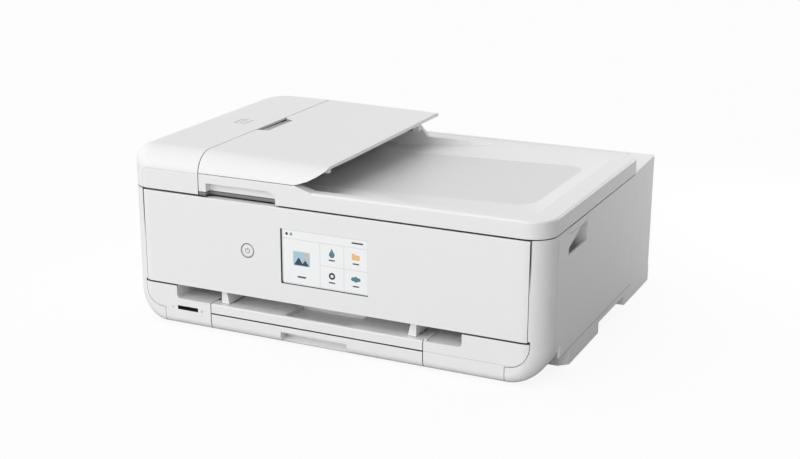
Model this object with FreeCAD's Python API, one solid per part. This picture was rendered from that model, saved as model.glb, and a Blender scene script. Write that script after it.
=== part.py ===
import FreeCAD, Part
import math
import os
from FreeCAD import Vector

# Desktop all-in-one inkjet printer. Millimetres, +X right, +Y to the back, +Z up.
# The origin is on the table, under the middle of the casing.

# Overall size
width = 468.0
depth = 366.0
base_lift = 1.2
wall = 2.5
front_round = 26.0
corner_round = 38.0
low_round = 9.0

half = width / 2
front = -depth / 2
back = depth / 2
floor_top = base_lift + 2.0

# Fits and gaps
seam = 0.6
slide_gap = 0.4
rest_gap = 0.3
pin_fit = 0.05
fold_gap = 1.0

# Heights, one on top of the other
cassette_face = 19.4
strip_height = 10.4
outlet_height = 15.5
rail_lift = 9.0
feed_lift = 18.0
print_gap = 2.0
carriage_height = 32.0
scan_clear = 12.0
scan_height = 43.0
lid_gap = 1.2
rim_height = 17.3
skirt_step = 5.7
tray_z = base_lift + cassette_face
lip_z = tray_z + strip_height
panel_low = lip_z + outlet_height
rail_top = lip_z + rail_lift
feed_z = rail_top + feed_lift
carriage_low = feed_z + print_gap
carriage_high = carriage_low + carriage_height
scan_low = carriage_high + scan_clear
case_top = scan_low + scan_height
lid_low = case_top + lid_gap
rim_top = lid_low + rim_height
skirt_low = rim_top + skirt_step

# Casing sides and back
column_length = 43.0
side_low = 19.3
deck_width = 70.0
rear_side = 9.0
crease_set = 28.0
grip_set = 58.0
grip_length = 58.0
grip_height = 21.0
grip_depth = 14.0
grip_roof_depth = 7.0
grip_drop = 15.0
grip_slant = 38.0
tab_height = 7.5
handhold_set = 171.0
handhold_length = 96.0
handhold_high = 13.0
handhold_depth = 16.0
base_set = 66.0
base_chamfer = 9.0
column_end = front + column_length
deck_front = back - deck_width
rear_split = deck_front - rear_side
deck_front_z = case_top + 2.3
deck_back_z = case_top + 5.0
crease_y = front + crease_set
grip_front = front + grip_set
grip_back = grip_front + grip_length
grip_high = case_top - tab_height
grip_low = grip_high - grip_height
handhold_front = front + handhold_set
handhold_back = handhold_front + handhold_length
base_front = front + base_set

# Rear tray
flap_half = half - 29.0
flap_front = deck_front + 5.5
flap_back = back - 5.0
flap_axis_y = back - 7.0
flap_pin = 1.1
chute_half = flap_half - 9.0
rear_guide_rest = 31.0
chute_top_y = back - 19.0
chute_top_z = case_top - 3.0
chute_foot_y = back - 51.0
chute_foot_z = rail_top + 22.0

# Lower front
panel_half = half - 19.0
panel_high = case_top - 0.8
panel_depth = 16.0
centre_left = -half + 98.0
centre_right = half - 126.0
block_edge = panel_half + 2.2
block_foot = half - 41.0
block_round = 22.0
recess_left = -half + 56.0
recess_right = half - 85.0
recess_round = 4.0
post_set = 6.5
post_width = 9.0
post_inset = 10.0
post_lean = 3.5
post_length = 91.0

# Operation panel
panel_axis_y = front + 5.0
panel_axis_z = panel_high - 8.0
panel_pin = 1.4
screen_width = 98.5
screen_height = 58.0
screen_left = -50.0
screen_right = screen_left + screen_width
screen_low = panel_low + 20.5
screen_high = screen_low + screen_height
screen_thick = 2.0
button_x = screen_left - 39.0
button_z = panel_low + 49.5
button_radius = 6.6
card_width = 25.4
card_height = 4.4
card_left = recess_left + 0.3
card_right = card_left + card_width
card_low = tray_z - 2.0
card_high = card_low + card_height
lamp_x = card_left - 5.9
lamp_z = card_low + 1.8
lamp_radius = 1.3

# Trays
tray_reach = 165.0
tray_plate = 3.0
pocket_depth = 5.5
cassette_back = back - 55.0
cassette_height = 17.0
cassette_guide_rest = 17.0
grip_half = 38.0

# Scanner
scan_gap = 5.0
scan_half = half - scan_gap
lid_back = deck_front - 8.0
scan_front = front + 25.0
scan_back = lid_back - 4.0
hinge_y = lid_back + 4.0
glass_left = -half + 48.0
glass_right = half - 22.0
glass_front = scan_front + 6.0
glass_back = scan_back - 9.0
glass_thick = 3.0
glass_drop = 1.0
strip_width = 22.0
strip_left = -half + 18.0
strip_right = strip_left + strip_width
scan_hinge_x = half - 59.0
lid_hinge_x = half - 124.0
hinge_width = 30.0
hinge_pin = 1.5
knuckle = 3.2
lid_axis_z = lid_low + 4.8
scan_rail_y = (scan_front + scan_back) / 2 - 1.5
scan_rail_z = scan_low + 10.0
scan_rail_radius = 4.0
scan_bar = 22.0

# Lid and document feeder
feeder_width = 88.0
feeder_rise = 26.5
feeder_slope = 5.0
feeder_round = front_round - 2.0
feeder_edge = 18.0
feeder_back_edge = 2.0
rear_round = 36.0
tray_width = 142.0
tray_thick = 3.5
tray_tilt = 1.3
tray_pin = 1.2
tray_eye = 2.2
arm_set = 29.0
rear_arm = 14.0
feeder_seam = -half + feeder_width
feeder_front_z = rim_top + feeder_rise
feeder_back_z = feeder_front_z + feeder_slope
tray_edge = feeder_seam + tray_width
arm_right = tray_edge - arm_set
tray_axis_x = tray_edge - 8.0
tray_axis_z = rim_top + 17.0
dish_bank = 21.0
dish_front_bank = 58.0
dish_back_bank = 40.0
dish_right = half - 22.0
dish_front = front + 11.0
dish_back = lid_back - 6.0
hollow_left = feeder_seam + 6.0
hollow_right = arm_right + 15.0
floor_left_z = lid_low + 3.8
floor_right_z = lid_low + 12.3
tub_left = -half + 9.0
tub_top = lid_low + 11.8
cover_axis_x = -half + 3.5
cover_axis_z = lid_low + 3.2
cover_pin = 1.2
lug_width = 5.0
guide_slot_x = feeder_seam + 41.0
document_guide_rest = 40.5
notch_front = front + 116.0
notch_length = 66.0
notch_width = 13.5
notch_drop = 3.4

# Print mechanism
frame_half = half - 19.0
sheet = 1.5
frame_back = 71.5
feed_y = frame_back - 41.5
shaft_y = feed_y + 10.0
shaft_z = carriage_high - 4.0
shaft_radius = 4.0
roller_span = 96.0
eject_y = feed_y - roller_span
eject_z = feed_z
frame_front = eject_y - 14.0
roller_radius = 6.0
roller_half = frame_half - 43.0
journal = 3.0
gear_width = 6.0
tooth = 1.6
pulley_x = frame_half - 15.0
pulley_y = shaft_y + 12.5
pulley_z = carriage_low + 11.0
pulley_radius = 6.0
belt_thick = 1.0
belt_height = 6.0
carriage_width = 66.0
carriage_depth = 66.0
carriage_right = frame_half - 9.0
carriage_left = carriage_right - carriage_width
carriage_back = shaft_y - 20.0
carriage_front = carriage_back - carriage_depth
tank_count = 5
rib_pitch = 24.0
motor_radius = 9.0
pinion_pitch = 8.0
pinion_drop = 62.0


def box(x0, x1, y0, y1, z0, z1):
    return Part.makeBox(x1 - x0, y1 - y0, z1 - z0, Vector(x0, y0, z0))


def rod(axis, start, radius, length):
    direction = {"x": Vector(1, 0, 0), "y": Vector(0, 1, 0), "z": Vector(0, 0, 1)}[axis]
    return Part.makeCylinder(radius, length, Vector(*start), direction)


def corner(before, point, after):
    """Start, middle and end of the arc that rounds one corner of an outline."""
    u, v, radius = point
    here = Vector(u, v, 0)
    back_way = (Vector(before[0], before[1], 0) - here).normalize()
    fore_way = (Vector(after[0], after[1], 0) - here).normalize()
    half_turn = back_way.getAngle(fore_way) / 2
    bisector = (back_way + fore_way).normalize()
    reach = radius / math.tan(half_turn)
    centre = here + bisector * (radius / math.sin(half_turn))
    return here + back_way * reach, centre - bisector * radius, here + fore_way * reach


def outline(points, place):
    """Closed wire through points (u, v) or (u, v, corner radius)."""
    edges = []
    ends = []
    for i, point in enumerate(points):
        if len(point) == 2:
            flat = Vector(point[0], point[1], 0)
            ends.append((flat, flat))
            continue
        start, middle, end = corner(points[i - 1], point, points[(i + 1) % len(points)])
        edges.append(Part.Arc(place(start), place(middle), place(end)).toShape())
        ends.append((start, end))
    for i, (_, leave) in enumerate(ends):
        arrive = ends[(i + 1) % len(ends)][0]
        if leave.distanceToPoint(arrive) > 1e-6:
            edges.append(Part.LineSegment(place(leave), place(arrive)).toShape())
    return Part.Wire(Part.__sortEdges__(edges))


def prism(axis, points, low, high):
    """Outline in the plane square to an axis, drawn out from low to high."""
    places = {
        "x": lambda p: Vector(low, p.x, p.y),
        "y": lambda p: Vector(p.x, low, p.y),
        "z": lambda p: Vector(p.x, p.y, low),
    }
    ways = {"x": Vector(high - low, 0, 0), "y": Vector(0, high - low, 0), "z": Vector(0, 0, high - low)}
    return Part.Face(outline(points, places[axis])).extrude(ways[axis])


def mirrored(shape):
    return shape.mirror(Vector(0, 0, 0), Vector(1, 0, 0))


def joined(shapes):
    first = shapes[0]
    return first.fuse(shapes[1:]).removeSplitter() if len(shapes) > 1 else first


def softened(shape, radius, chosen):
    return shape.makeFillet(radius, [edge for edge in shape.Edges if chosen(edge)])


def runs_along(edge, axis):
    box_ = edge.BoundBox
    spans = {"x": box_.XLength, "y": box_.YLength, "z": box_.ZLength}
    others = [spans[key] for key in spans if key != axis]
    return spans[axis] > 1.0 and max(others) < 1e-3


def gear(axis_x, y, z, pitch, bore):
    """Spur gear on an X axis, its teeth just short of its neighbour's."""
    count = int(round(2 * pitch / tooth / 1.25))
    tip = pitch - rest_gap / 2
    root = tip - tooth
    points = []
    for i in range(count):
        for share, radius in ((0.0, root), (0.3, root), (0.42, tip), (0.88, tip)):
            angle = 2 * math.pi * (i + share) / count
            points.append((y + radius * math.cos(angle), z + radius * math.sin(angle)))
    wheel = prism("x", points, axis_x, axis_x + gear_width)
    return wheel.cut(rod("x", (axis_x - 1, y, z), bore, gear_width + 2))


def varied_fillet(block, edges):
    """Block with rounded edges, each given as (number, radius at its start, radius at its end)."""
    page = FreeCAD.newDocument("fillet")
    plain = page.addObject("Part::Feature", "block")
    plain.Shape = block
    rounded = page.addObject("Part::Fillet", "rounded")
    rounded.Base = plain
    rounded.Edges = edges
    page.recompute()
    shape = rounded.Shape.copy()
    FreeCAD.closeDocument(page.Name)
    return shape


# Casing

forms = {}


def body_form(inset):
    """Front half of the casing as one rounded block, drawn in by an inset."""
    if inset not in forms:
        forms[inset] = make_body_form(inset)
    return forms[inset]


def make_body_form(inset):
    """The low front edge has a small radius, which grows round the corners into the columns."""
    side = half - inset
    near = front + inset
    far = column_end + 10
    low = base_lift + inset
    tight = low_round - inset
    wide = front_round - inset
    turn_x = half - corner_round
    turn_z = base_lift + corner_round
    block = box(-side, side, near, far, low, case_top)
    block = softened(block, corner_round - inset,
                     lambda e: runs_along(e, "y") and e.BoundBox.ZMax < low + 0.1)
    middle = block.common(box(-turn_x, turn_x, near, far, low, case_top))
    middle = softened(middle, tight, lambda e: e.BoundBox.YMax < near + 0.1 and e.BoundBox.ZMax < low + 0.1)
    column = block.common(box(turn_x, side, near, far, turn_z, case_top))
    column = softened(column, wide, lambda e: e.BoundBox.YMax < near + 0.1 and e.BoundBox.XMin > side - 0.1)
    corner = block.common(box(turn_x, side, near, far, low, turn_z))
    at_front = [e for e in corner.Edges if e.BoundBox.YMax < near + 0.1]
    arc = [max(at_front, key=lambda e: e.Length)]
    corner = corner.makeFillet(wide, tight, arc)
    right = [column, corner]
    return joined([middle] + right + [mirrored(piece) for piece in right])


def body_skin():
    return body_form(0).cut(body_form(wall))


def block_region(side, grow):
    """Front view of one lower front block, with its rounded outer corner."""
    inner = centre_right if side > 0 else -centre_left
    low = side_low - grow
    edge = block_edge + grow
    high = panel_low + 1
    upper = [(inner - grow, low), (edge, low, block_round + grow), (edge, high), (inner - grow, high)]
    region = prism("y", upper, front - 1, column_end)
    foot = box(inner - grow, block_foot + grow, front - 1, column_end, 0, low + 1)
    region = region.fuse(foot)
    return region if side > 0 else mirrored(region)


def side_shell():
    """Right side wall with its rounded front column, grip pocket and panel pivot."""
    column = body_skin().common(box(block_foot - 1, half, front, column_end, 0, case_top))
    end = body_form(0).common(box(block_foot + seam, half, column_end - wall, column_end, 0, side_low + 1))
    column = joined([column, end]).cut(block_region(1, seam))
    column = column.cut(box(0, panel_half + seam, front - 1, column_end + 1, panel_low - seam, case_top + 1))
    plate = box(half - wall, half, column_end, rear_split - seam / 2, side_low, case_top)
    pocket_back = half - grip_depth
    pocket_floor = grip_low - grip_drop
    cup = box(pocket_back - wall, half, grip_front - wall, grip_back + wall, pocket_floor - wall, grip_high)
    boss_left = panel_half + seam
    boss = box(boss_left, boss_left + 7, front, front + 12, panel_axis_z - 7, case_top - seam)
    shell = joined([column, plate, cup, boss.common(body_form(0))])
    roof = grip_high + 0.1
    section = [(half + 1, grip_low), (half - wall, grip_low), (half - wall, pocket_floor),
               (pocket_back, pocket_floor), (half - grip_roof_depth, roof), (half + 1, roof)]
    slant = [(grip_front, grip_low + 8), (grip_front + grip_slant, grip_high), (grip_front, grip_high)]
    pocket = prism("y", section, grip_front, grip_back)
    shell = shell.cut(pocket.cut(prism("x", slant, half - wall, half + 2)))
    shell = shell.cut(box(pocket_back - wall - 1, half + 1, grip_front, grip_back, grip_high, case_top + 1))
    shell = shell.cut(rod("x", (boss_left - 1, panel_axis_y, panel_axis_z), panel_pin + pin_fit, 5))
    crease = 0.5
    line = box(half - crease, half + 1, crease_y - crease, crease_y + crease, side_low + 8, case_top - 4)
    return shell.cut(line)


def front_block(side):
    """Lower front corner block: a skin with a recess beside the paper outlet."""
    inner = centre_right if side > 0 else -centre_left
    reach = recess_right if side > 0 else -recess_left
    inset_front = front + wall
    deep = column_end
    skin = body_skin().common(block_region(side, 0))
    skin = skin.common(box(-half, half, front, column_end - seam, 0, panel_low - seam))
    top = panel_low - seam
    walls = [
        box(reach, block_edge - wall, inset_front, deep, top - wall, top),
        box(inner, reach + wall, front, deep, lip_z - wall, lip_z),
        box(reach, reach + wall, inset_front, deep, lip_z - wall, top),
        box(inner, inner + wall, front, deep, base_lift, lip_z),
        box(reach - recess_round, reach, front, deep, lip_z - wall, lip_z + recess_round),
    ]
    walls = [w if side > 0 else mirrored(w) for w in walls]
    inside = body_form(0).common(block_region(side, 0))
    block = joined([skin] + [w.common(inside) for w in walls])
    high = panel_low + 2
    recess = prism("y", [(inner - 1, lip_z), (reach, lip_z, recess_round), (reach, high), (inner - 1, high)],
                   front - 1, deep + 1)
    return block.cut(recess if side > 0 else mirrored(recess))


def card_place(grow):
    return card_left - grow, card_right + grow, card_low - grow, card_high + grow


def card_slot():
    """Memory card socket, set into the left block."""
    left, right, low, high = card_place(0)
    rim = 0.9
    body = box(left, right, front + 0.3, front + 40, low, high)
    return body.cut(box(left + rim, right - rim, front, front + 34, low + rim, high - rim))


def access_lamp():
    return rod("y", (lamp_x, front + 0.2, lamp_z), lamp_radius, 5)


def left_block():
    left, right, low, high = card_place(pin_fit)
    block = front_block(-1).cut(box(left, right, front - 1, front + 50, low, high))
    return block.cut(rod("y", (lamp_x, front - 1, lamp_z), lamp_radius + pin_fit, 8))


def base_plan(inset):
    """Outline of the base: a tongue between the columns, and chamfered front corners."""
    tongue = block_foot - inset
    near = column_end + seam + inset
    step = base_front + inset
    side = half - rest_gap - inset
    far = back - rest_gap - inset
    right = [(tongue, near), (tongue, step), (side - base_chamfer, step), (side, step + base_chamfer),
             (side, far)]
    return right + [(-x, y) for x, y in reversed(right)]


def base_tray():
    """Bottom moulding: floor, low walls, cassette rails and stand-offs."""
    side = half - rest_gap
    near = column_end + seam
    high = side_low - rest_gap
    rim = prism("z", base_plan(0), base_lift, high)
    rim = rim.cut(prism("z", base_plan(wall), floor_top, high + 1))
    rim = rim.cut(box(centre_left - 1, centre_right + 1, near - 1, near + wall + 1, floor_top, high + 1))
    shelf_top = lip_z - 1 - tray_plate - rest_gap
    rails = []
    for x in (centre_left - 1 - wall, centre_right + 1):
        rails.append(box(x, x + wall, near, back - 33, floor_top - 1, rail_top))
    for x in (centre_left - 1, centre_right + 1 - 4):
        rails.append(box(x, x + 4, near, front + tray_reach, shelf_top - 1.5, shelf_top))
    posts = [rod("z", (x, y, floor_top - 1), 3, 17) for x, y in board_posts()]
    tray = joined([rim] + rails + posts)
    for sign in (-1, 1):
        low = min(sign * side, sign * (side - handhold_depth))
        cut = box(low, low + handhold_depth, handhold_front, handhold_back, 0, handhold_high)
        shelf_low = min(sign * side, sign * (side - handhold_depth - wall))
        shelf = box(shelf_low, shelf_low + handhold_depth + wall, handhold_front - wall, handhold_back + wall,
                    base_lift, handhold_high + wall)
        tray = joined([tray, shelf]).cut(cut)
    return tray


def board_posts():
    return [(x, y) for x in (-half + 16, -half + 82) for y in (frame_back + 2.5, back - 25)]


def foot_places():
    return [(x, y) for x in (44 - half, half - 44) for y in (base_front + 17, back - 31)]


def rubber_feet():
    return Part.Compound([rod("z", (x, y, 0), 9, base_lift) for x, y in foot_places()])


def deck_height(y):
    return deck_front_z + (deck_back_z - deck_front_z) * (y - deck_front) / (back - deck_front)


def flap_axis_z():
    return deck_height(flap_axis_y) - wall / 2


def socket_places():
    low = side_low + 10.7
    inlet = (-half + 20, -half + 42, low, low + 16)
    usb = (-half + 74, -half + 88, low, low + 14)
    return inlet, usb


def rear_cover():
    """Wrap-round rear casing with the deck that holds the rear tray cover."""
    near = rear_split + seam / 2
    side = half - wall
    outer = prism("x", [(near, side_low), (back, side_low), (back, deck_back_z), (deck_front, deck_front_z),
                        (near, case_top)], -half, half)
    outer = softened(outer, 4.0, lambda e: runs_along(e, "z") and e.BoundBox.YMin > back - 0.1)
    under = [(deck_front + wall, 0), (back - wall, 0), (back - wall, deck_height(back - wall) - wall),
             (deck_front + wall, deck_height(deck_front + wall) - wall)]
    shell = outer.cut(prism("x", under, -side, side))
    shell = shell.cut(box(-side, side, 0, deck_front, 0, case_top + 20))
    shell = shell.cut(box(-side, side, 0, deck_front + wall + 1, 0, case_top - 29))
    boss = box(flap_half - 1, flap_half + 7, flap_axis_y - 5, back - wall, flap_axis_z() - 4, flap_axis_z())
    knuckles = []
    for sign in (-1, 1):
        x = sign * scan_hinge_x - hinge_width / 6
        arm = box(x, x + hinge_width / 3, hinge_y, deck_front + 1, case_top - knuckle, case_top)
        eye = rod("x", (x, hinge_y, case_top), knuckle, hinge_width / 3)
        hole = rod("x", (x - 1, hinge_y, case_top), hinge_pin + pin_fit, hinge_width)
        knuckles.append(arm.fuse(eye).cut(hole))
    shell = joined([shell, boss, mirrored(boss)] + knuckles)
    shell = shell.cut(box(-flap_half, flap_half, flap_front - seam, flap_back, case_top - 17, case_top + 20))
    start = (-flap_half - 4, flap_axis_y, flap_axis_z())
    shell = shell.cut(rod("x", start, flap_pin + pin_fit, 2 * flap_half + 8))
    notch = lid_hinge_x + hinge_width / 2 + 3
    inner_notch = lid_hinge_x - hinge_width / 2 - 3
    for low, high in ((inner_notch, notch), (-notch, -inner_notch)):
        shell = shell.cut(box(low, high, deck_front - 1, flap_front - seam - 1, case_top - 13, case_top + 20))
    for left, right, low, high in socket_places():
        shell = shell.cut(box(left, right, back - wall - 1, back + 1, low, high))
    for x, z in screw_places():
        shell = shell.cut(rod("y", (x, back - wall - 1, z), 1.5 + pin_fit, 10))
        shell = shell.cut(rod("y", (x, back - 1.4, z), 3.0 + pin_fit, 3))
    return shell


def screw_places():
    low = side_low + 14.7
    return [(x, z) for x in (10 - half, half - 10) for z in (low, case_top - 19)] + [(-60, low), (60, low)]


def case_screws():
    screws = []
    for x, z in screw_places():
        head = rod("y", (x, back - 1.4, z), 3.0, 1.2)
        slot = box(x - 2, x + 2, back - 0.8, back, z - 0.4, z + 0.4)
        cross = box(x - 0.4, x + 0.4, back - 0.8, back, z - 2, z + 2)
        screws.append(head.fuse(rod("y", (x, back - 8, z), 1.5, 6.8)).cut(slot).cut(cross))
    return Part.Compound(screws)


def rear_tray_cover():
    """Hinged lid of the rear paper tray, which also holds the paper up."""
    gap = seam / 2
    near = flap_front
    far = flap_back - seam
    section = [(near, deck_height(near) - wall), (far, deck_height(far) - wall), (far, deck_height(far), 1.0),
               (near, deck_height(near))]
    plate = prism("x", section, -flap_half + gap, flap_half - gap)
    pins = rod("x", (-flap_half - 3, flap_axis_y, flap_axis_z()), flap_pin, 2 * flap_half + 6)
    finger = box(-30, 30, near - 1, near + 5, deck_height(near) - 0.9, deck_height(near) + 1)
    return joined([plate, pins]).cut(finger)


def rear_chute():
    """Sloping paper rest of the rear tray between two cheeks on the back wall."""
    y1, z1 = chute_top_y, chute_top_z
    y0, z0 = chute_foot_y, chute_foot_z
    slope = [(y0, z0), (y0 + wall, z0), (y1 + wall, z1), (y1, z1)]
    rest = prism("x", slope, -chute_half, chute_half)
    cheek = box(chute_half, chute_half + wall, deck_front + 7, back - wall, z0, case_top - 1.5)
    return joined([rest, cheek, mirrored(cheek)])


def rear_guide(side):
    """Edge guide that slides across the rear paper rest."""
    y1, z1 = chute_top_y, chute_top_z
    y0, z0 = chute_foot_y, chute_foot_z
    lift = rest_gap
    lean = (y1 - y0) / (z1 - z0)
    top = z1 - 2
    low = z1 - 44
    y_top = y0 + (top - z0) * lean - lift
    y_low = y0 + (low - z0) * lean - lift
    shape = [(y_low - 12, low), (y_low, low), (y_top, top), (y_top - 12, top)]
    x = side * (chute_half - rear_guide_rest)
    return prism("x", shape, x - wall / 2, x + wall / 2)


def power_inlet():
    left, right, low, high = socket_places()[0]
    gap = pin_fit
    shell = box(left + gap, right - gap, back - 20, back - 0.4, low + gap, high - gap)
    shell = shell.cut(box(left + 3, right - 3, back - 14, back, low + 3.5, high - 3.5))
    middle = (low + high) / 2
    centre = (left + right) / 2
    pins = [rod("y", (x, back - 15, middle), 1.2, 10) for x in (centre - 4.3, centre + 4.3)]
    return joined([shell] + pins)


def usb_socket():
    left, right, low, high = socket_places()[1]
    gap = pin_fit
    shell = box(left + gap, right - gap, back - 18, back - 0.4, low + gap, high - gap)
    shell = shell.cut(box(left + 1.5, right - 1.5, back - 10, back, low + 1.5, high - 1.5))
    middle = (left + right) / 2
    centre = (low + high) / 2
    tongue = box(middle - 2.7, middle + 2.7, back - 12, back - 2, centre - 1.7, centre + 1.7)
    return joined([shell, tongue])


# Front panel, screen and button

def operation_panel():
    """Tilting front panel: a shell with a pocket for the screen and a button hole."""
    near = front
    far = front + panel_depth
    body = box(-panel_half, panel_half, near, far, panel_low, panel_high)
    body = body.common(body_form(0))
    body = softened(body, 1.0, lambda e: runs_along(e, "x") and e.BoundBox.YMax < near + 0.1 and
                    e.BoundBox.ZMin > panel_high - 0.1)
    inner = panel_half - wall
    body = body.cut(box(-inner, inner, near + wall, far + 1, panel_low + wall, panel_axis_z - 4))
    seat = box(screen_left - 3, screen_right + 3, near + wall - 0.5, near + wall + 2,
               screen_low - 3, screen_high + 3)
    ring = rod("y", (button_x, near + wall - 0.5, button_z), button_radius + 5, 6)
    body = joined([body, seat, ring])
    body = body.cut(box(screen_left, screen_right, near - 1, near + screen_thick, screen_low, screen_high))
    body = body.cut(rod("y", (button_x, near - 1, button_z), button_radius + 0.3, 20))
    body = body.cut(rod("y", (button_x, near + 4, button_z), button_radius + 2, 20))
    relief = [(far - 7, panel_low - 1), (far + 1, panel_low - 1), (far + 1, panel_low + 1.8),
              (far - 7, panel_low)]
    body = body.cut(prism("x", relief, -panel_half - 1, panel_half + 1))
    reach = panel_half + seam + 3
    pins = rod("x", (-reach, panel_axis_y, panel_axis_z), panel_pin, 2 * reach)
    return joined([body, pins])


def touch_screen():
    gap = pin_fit
    return box(screen_left + gap, screen_right - gap, front + 0.1, front + screen_thick,
               screen_low + gap, screen_high - gap)


def power_button():
    cap = rod("y", (button_x, front, button_z), button_radius, 5.5)
    flange = rod("y", (button_x, front + 4 + rest_gap, button_z), button_radius + 1.5, 2)
    cap = softened(cap, 0.5, lambda e: e.BoundBox.YMax < front + 0.1 and e.BoundBox.XLength > 5)
    return joined([cap, flange])


# Paper trays

def output_tray():
    """Sliding paper output tray with a front strip and a finger pocket."""
    left = centre_left + slide_gap
    right = centre_right - slide_gap
    strip = box(left, right, front, front + 14, tray_z + seam / 2, lip_z)
    strip = strip.common(body_form(0))
    strip = softened(strip, 1.5, lambda e: runs_along(e, "x") and e.BoundBox.YMax < front + 0.1 and
                     e.BoundBox.ZMin > lip_z - 0.1)
    plate = box(left, right, front + 10, front + tray_reach, lip_z - 1 - tray_plate, lip_z - 1)
    tray = joined([strip, plate])
    middle = (centre_left + centre_right) / 2 + 3
    low = lip_z - pocket_depth
    cup = box(middle - grip_half - wall, middle + grip_half + wall, front + 4, front + 42 + wall,
              low - wall / 2, lip_z - 1)
    pocket = box(middle - grip_half, middle + grip_half, front + 4, front + 42, low, lip_z + 1)
    return joined([tray, cup]).cut(pocket)


def cassette_floor():
    return floor_top + slide_gap


def cassette():
    """Paper cassette: an open box behind a curved front with a grip recess."""
    left = centre_left + slide_gap
    right = centre_right - slide_gap
    low = cassette_floor()
    top = low + cassette_height
    front_part = body_skin().common(box(left, right, front, column_end - seam, 0, tray_z - seam / 2))
    tub = box(left, right, front + 8, cassette_back, low, top - rest_gap)
    tub = tub.cut(box(left + wall, right - wall, front + 12, cassette_back - wall, low + 2, top + 1))
    high = tray_z - seam / 2
    rim = box(left, right, front, front + 12, high - wall, high).common(body_form(0))
    tub = tub.common(box(left, right, front, cassette_back, 0, high))
    tub = tub.cut(box(left, right, front, column_end, 0, high).cut(body_form(0)))
    piece = joined([front_part, tub, rim])
    middle = (centre_left + centre_right) / 2
    grip_left, grip_right = middle - grip_half, middle + grip_half
    grip_top, grip_base = tray_z - 7.1, base_lift + 2.3
    shell = box(grip_left - wall, grip_right + wall, front + 2, front + 16, base_lift, grip_top + wall)
    piece = joined([piece, shell.common(body_form(0))])
    recess = prism("x", [(front - 1, grip_top), (front + 12, grip_top), (front + 12, grip_base + 3),
                         (front + 4, grip_base), (front - 1, grip_base)], grip_left, grip_right)
    return piece.cut(recess)


def cassette_guide(side):
    """Edge guide that slides across the cassette."""
    low = cassette_floor() + 2
    x = centre_left + cassette_guide_rest if side < 0 else centre_right - cassette_guide_rest
    y = (front + cassette_back) / 2
    face = box(x - wall / 2, x + wall / 2, y - 42, y + 68, low + rest_gap, low + 13)
    left = min(x, x + side * 12)
    foot = box(left, left + 12, y - 2, y + 28, low + rest_gap, low + rest_gap + 1.5)
    return joined([face, foot])


def end_guide():
    middle = (centre_left + centre_right) / 2
    low = cassette_floor() + 2
    y = front + 19
    face = box(middle - 30, middle + 30, y, y + wall, low + rest_gap, low + 12)
    foot = box(middle - 14, middle + 14, y + wall, y + 24, low + rest_gap, low + rest_gap + 1.5)
    return joined([face, foot])


# Scanner unit

def scanner_frame():
    """Scanner tub with a ledge for each glass, lifting tabs and hinge knuckles."""
    tub = box(-scan_half, scan_half, scan_front, scan_back, scan_low, case_top)
    hollow = box(-scan_half + wall, scan_half - wall, scan_front + wall, scan_back - wall,
                 scan_low + wall, case_top - glass_drop - glass_thick - 2)
    clear = 2.0
    swing = 9.0
    inner = half - grip_depth - wall - clear
    for sign in (-1, 1):
        keep = box(inner - wall, half, grip_front - wall - clear - wall, grip_back + wall + swing + wall,
                   0, grip_high + wall)
        bite = box(inner, half, grip_front - wall - clear, grip_back + wall + swing, 0, grip_high + 0.4)
        hollow = hollow.cut(keep if sign > 0 else mirrored(keep))
        tub = tub.cut(bite if sign > 0 else mirrored(bite))
    tub = tub.cut(hollow)
    tab = box(scan_half - 4, half, grip_front + rest_gap, grip_back - rest_gap, grip_high + slide_gap,
              case_top - 0.2)
    tub = joined([tub, tab, mirrored(tab)])
    ledge = 4.0
    seat = case_top - glass_drop - glass_thick
    for left, right in ((glass_left, glass_right), (strip_left, strip_right)):
        tub = tub.cut(box(left, right, glass_front, glass_back, seat, case_top + 1))
        view = box(left + ledge, right - ledge, glass_front + ledge, glass_back - ledge, seat - 10, case_top)
        tub = tub.cut(view)
    for sign in (-1, 1):
        for offset in (-hinge_width / 3, hinge_width / 3):
            x = sign * scan_hinge_x + offset - hinge_width / 6 + rest_gap / 2
            length = hinge_width / 3 - rest_gap
            arm = box(x, x + length, scan_back - 1, hinge_y, case_top - knuckle, case_top)
            eye = rod("x", (x, hinge_y, case_top), knuckle, length)
            tub = joined([tub, arm, eye])
        for offset in (-hinge_width / 3, hinge_width / 3):
            x = sign * lid_hinge_x + offset - hinge_width / 6 + rest_gap / 2
            length = hinge_width / 3 - rest_gap
            post = box(x, x + length, scan_back - 1, hinge_y, case_top - 6, case_top)
            stalk = box(x, x + length, hinge_y - 2, hinge_y + 2, case_top - 6, lid_axis_z)
            eye = rod("x", (x, hinge_y, lid_axis_z), knuckle, length)
            tub = joined([tub, post, stalk, eye])
    for sign in (-1, 1):
        for x, z in ((scan_hinge_x, case_top), (lid_hinge_x, lid_axis_z)):
            start = (sign * x - hinge_width / 2 - 1, hinge_y, z)
            tub = tub.cut(rod("x", start, hinge_pin + pin_fit, hinge_width + 2))
    return tub.cut(rod("x", (-scan_half, scan_rail_y, scan_rail_z), scan_rail_radius, 2 * scan_half))


def hinge_pins(x, z):
    length = hinge_width - rest_gap
    starts = [(sign * x - length / 2, hinge_y, z) for sign in (-1, 1)]
    return Part.Compound([rod("x", start, hinge_pin, length) for start in starts])


def glass_plate(left, right):
    gap = pin_fit
    top = case_top - glass_drop
    return box(left + gap, right - gap, glass_front + gap, glass_back - gap, top - glass_thick, top)


def scan_rail():
    return rod("x", (-scan_half, scan_rail_y, scan_rail_z), scan_rail_radius, 2 * scan_half)


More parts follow.
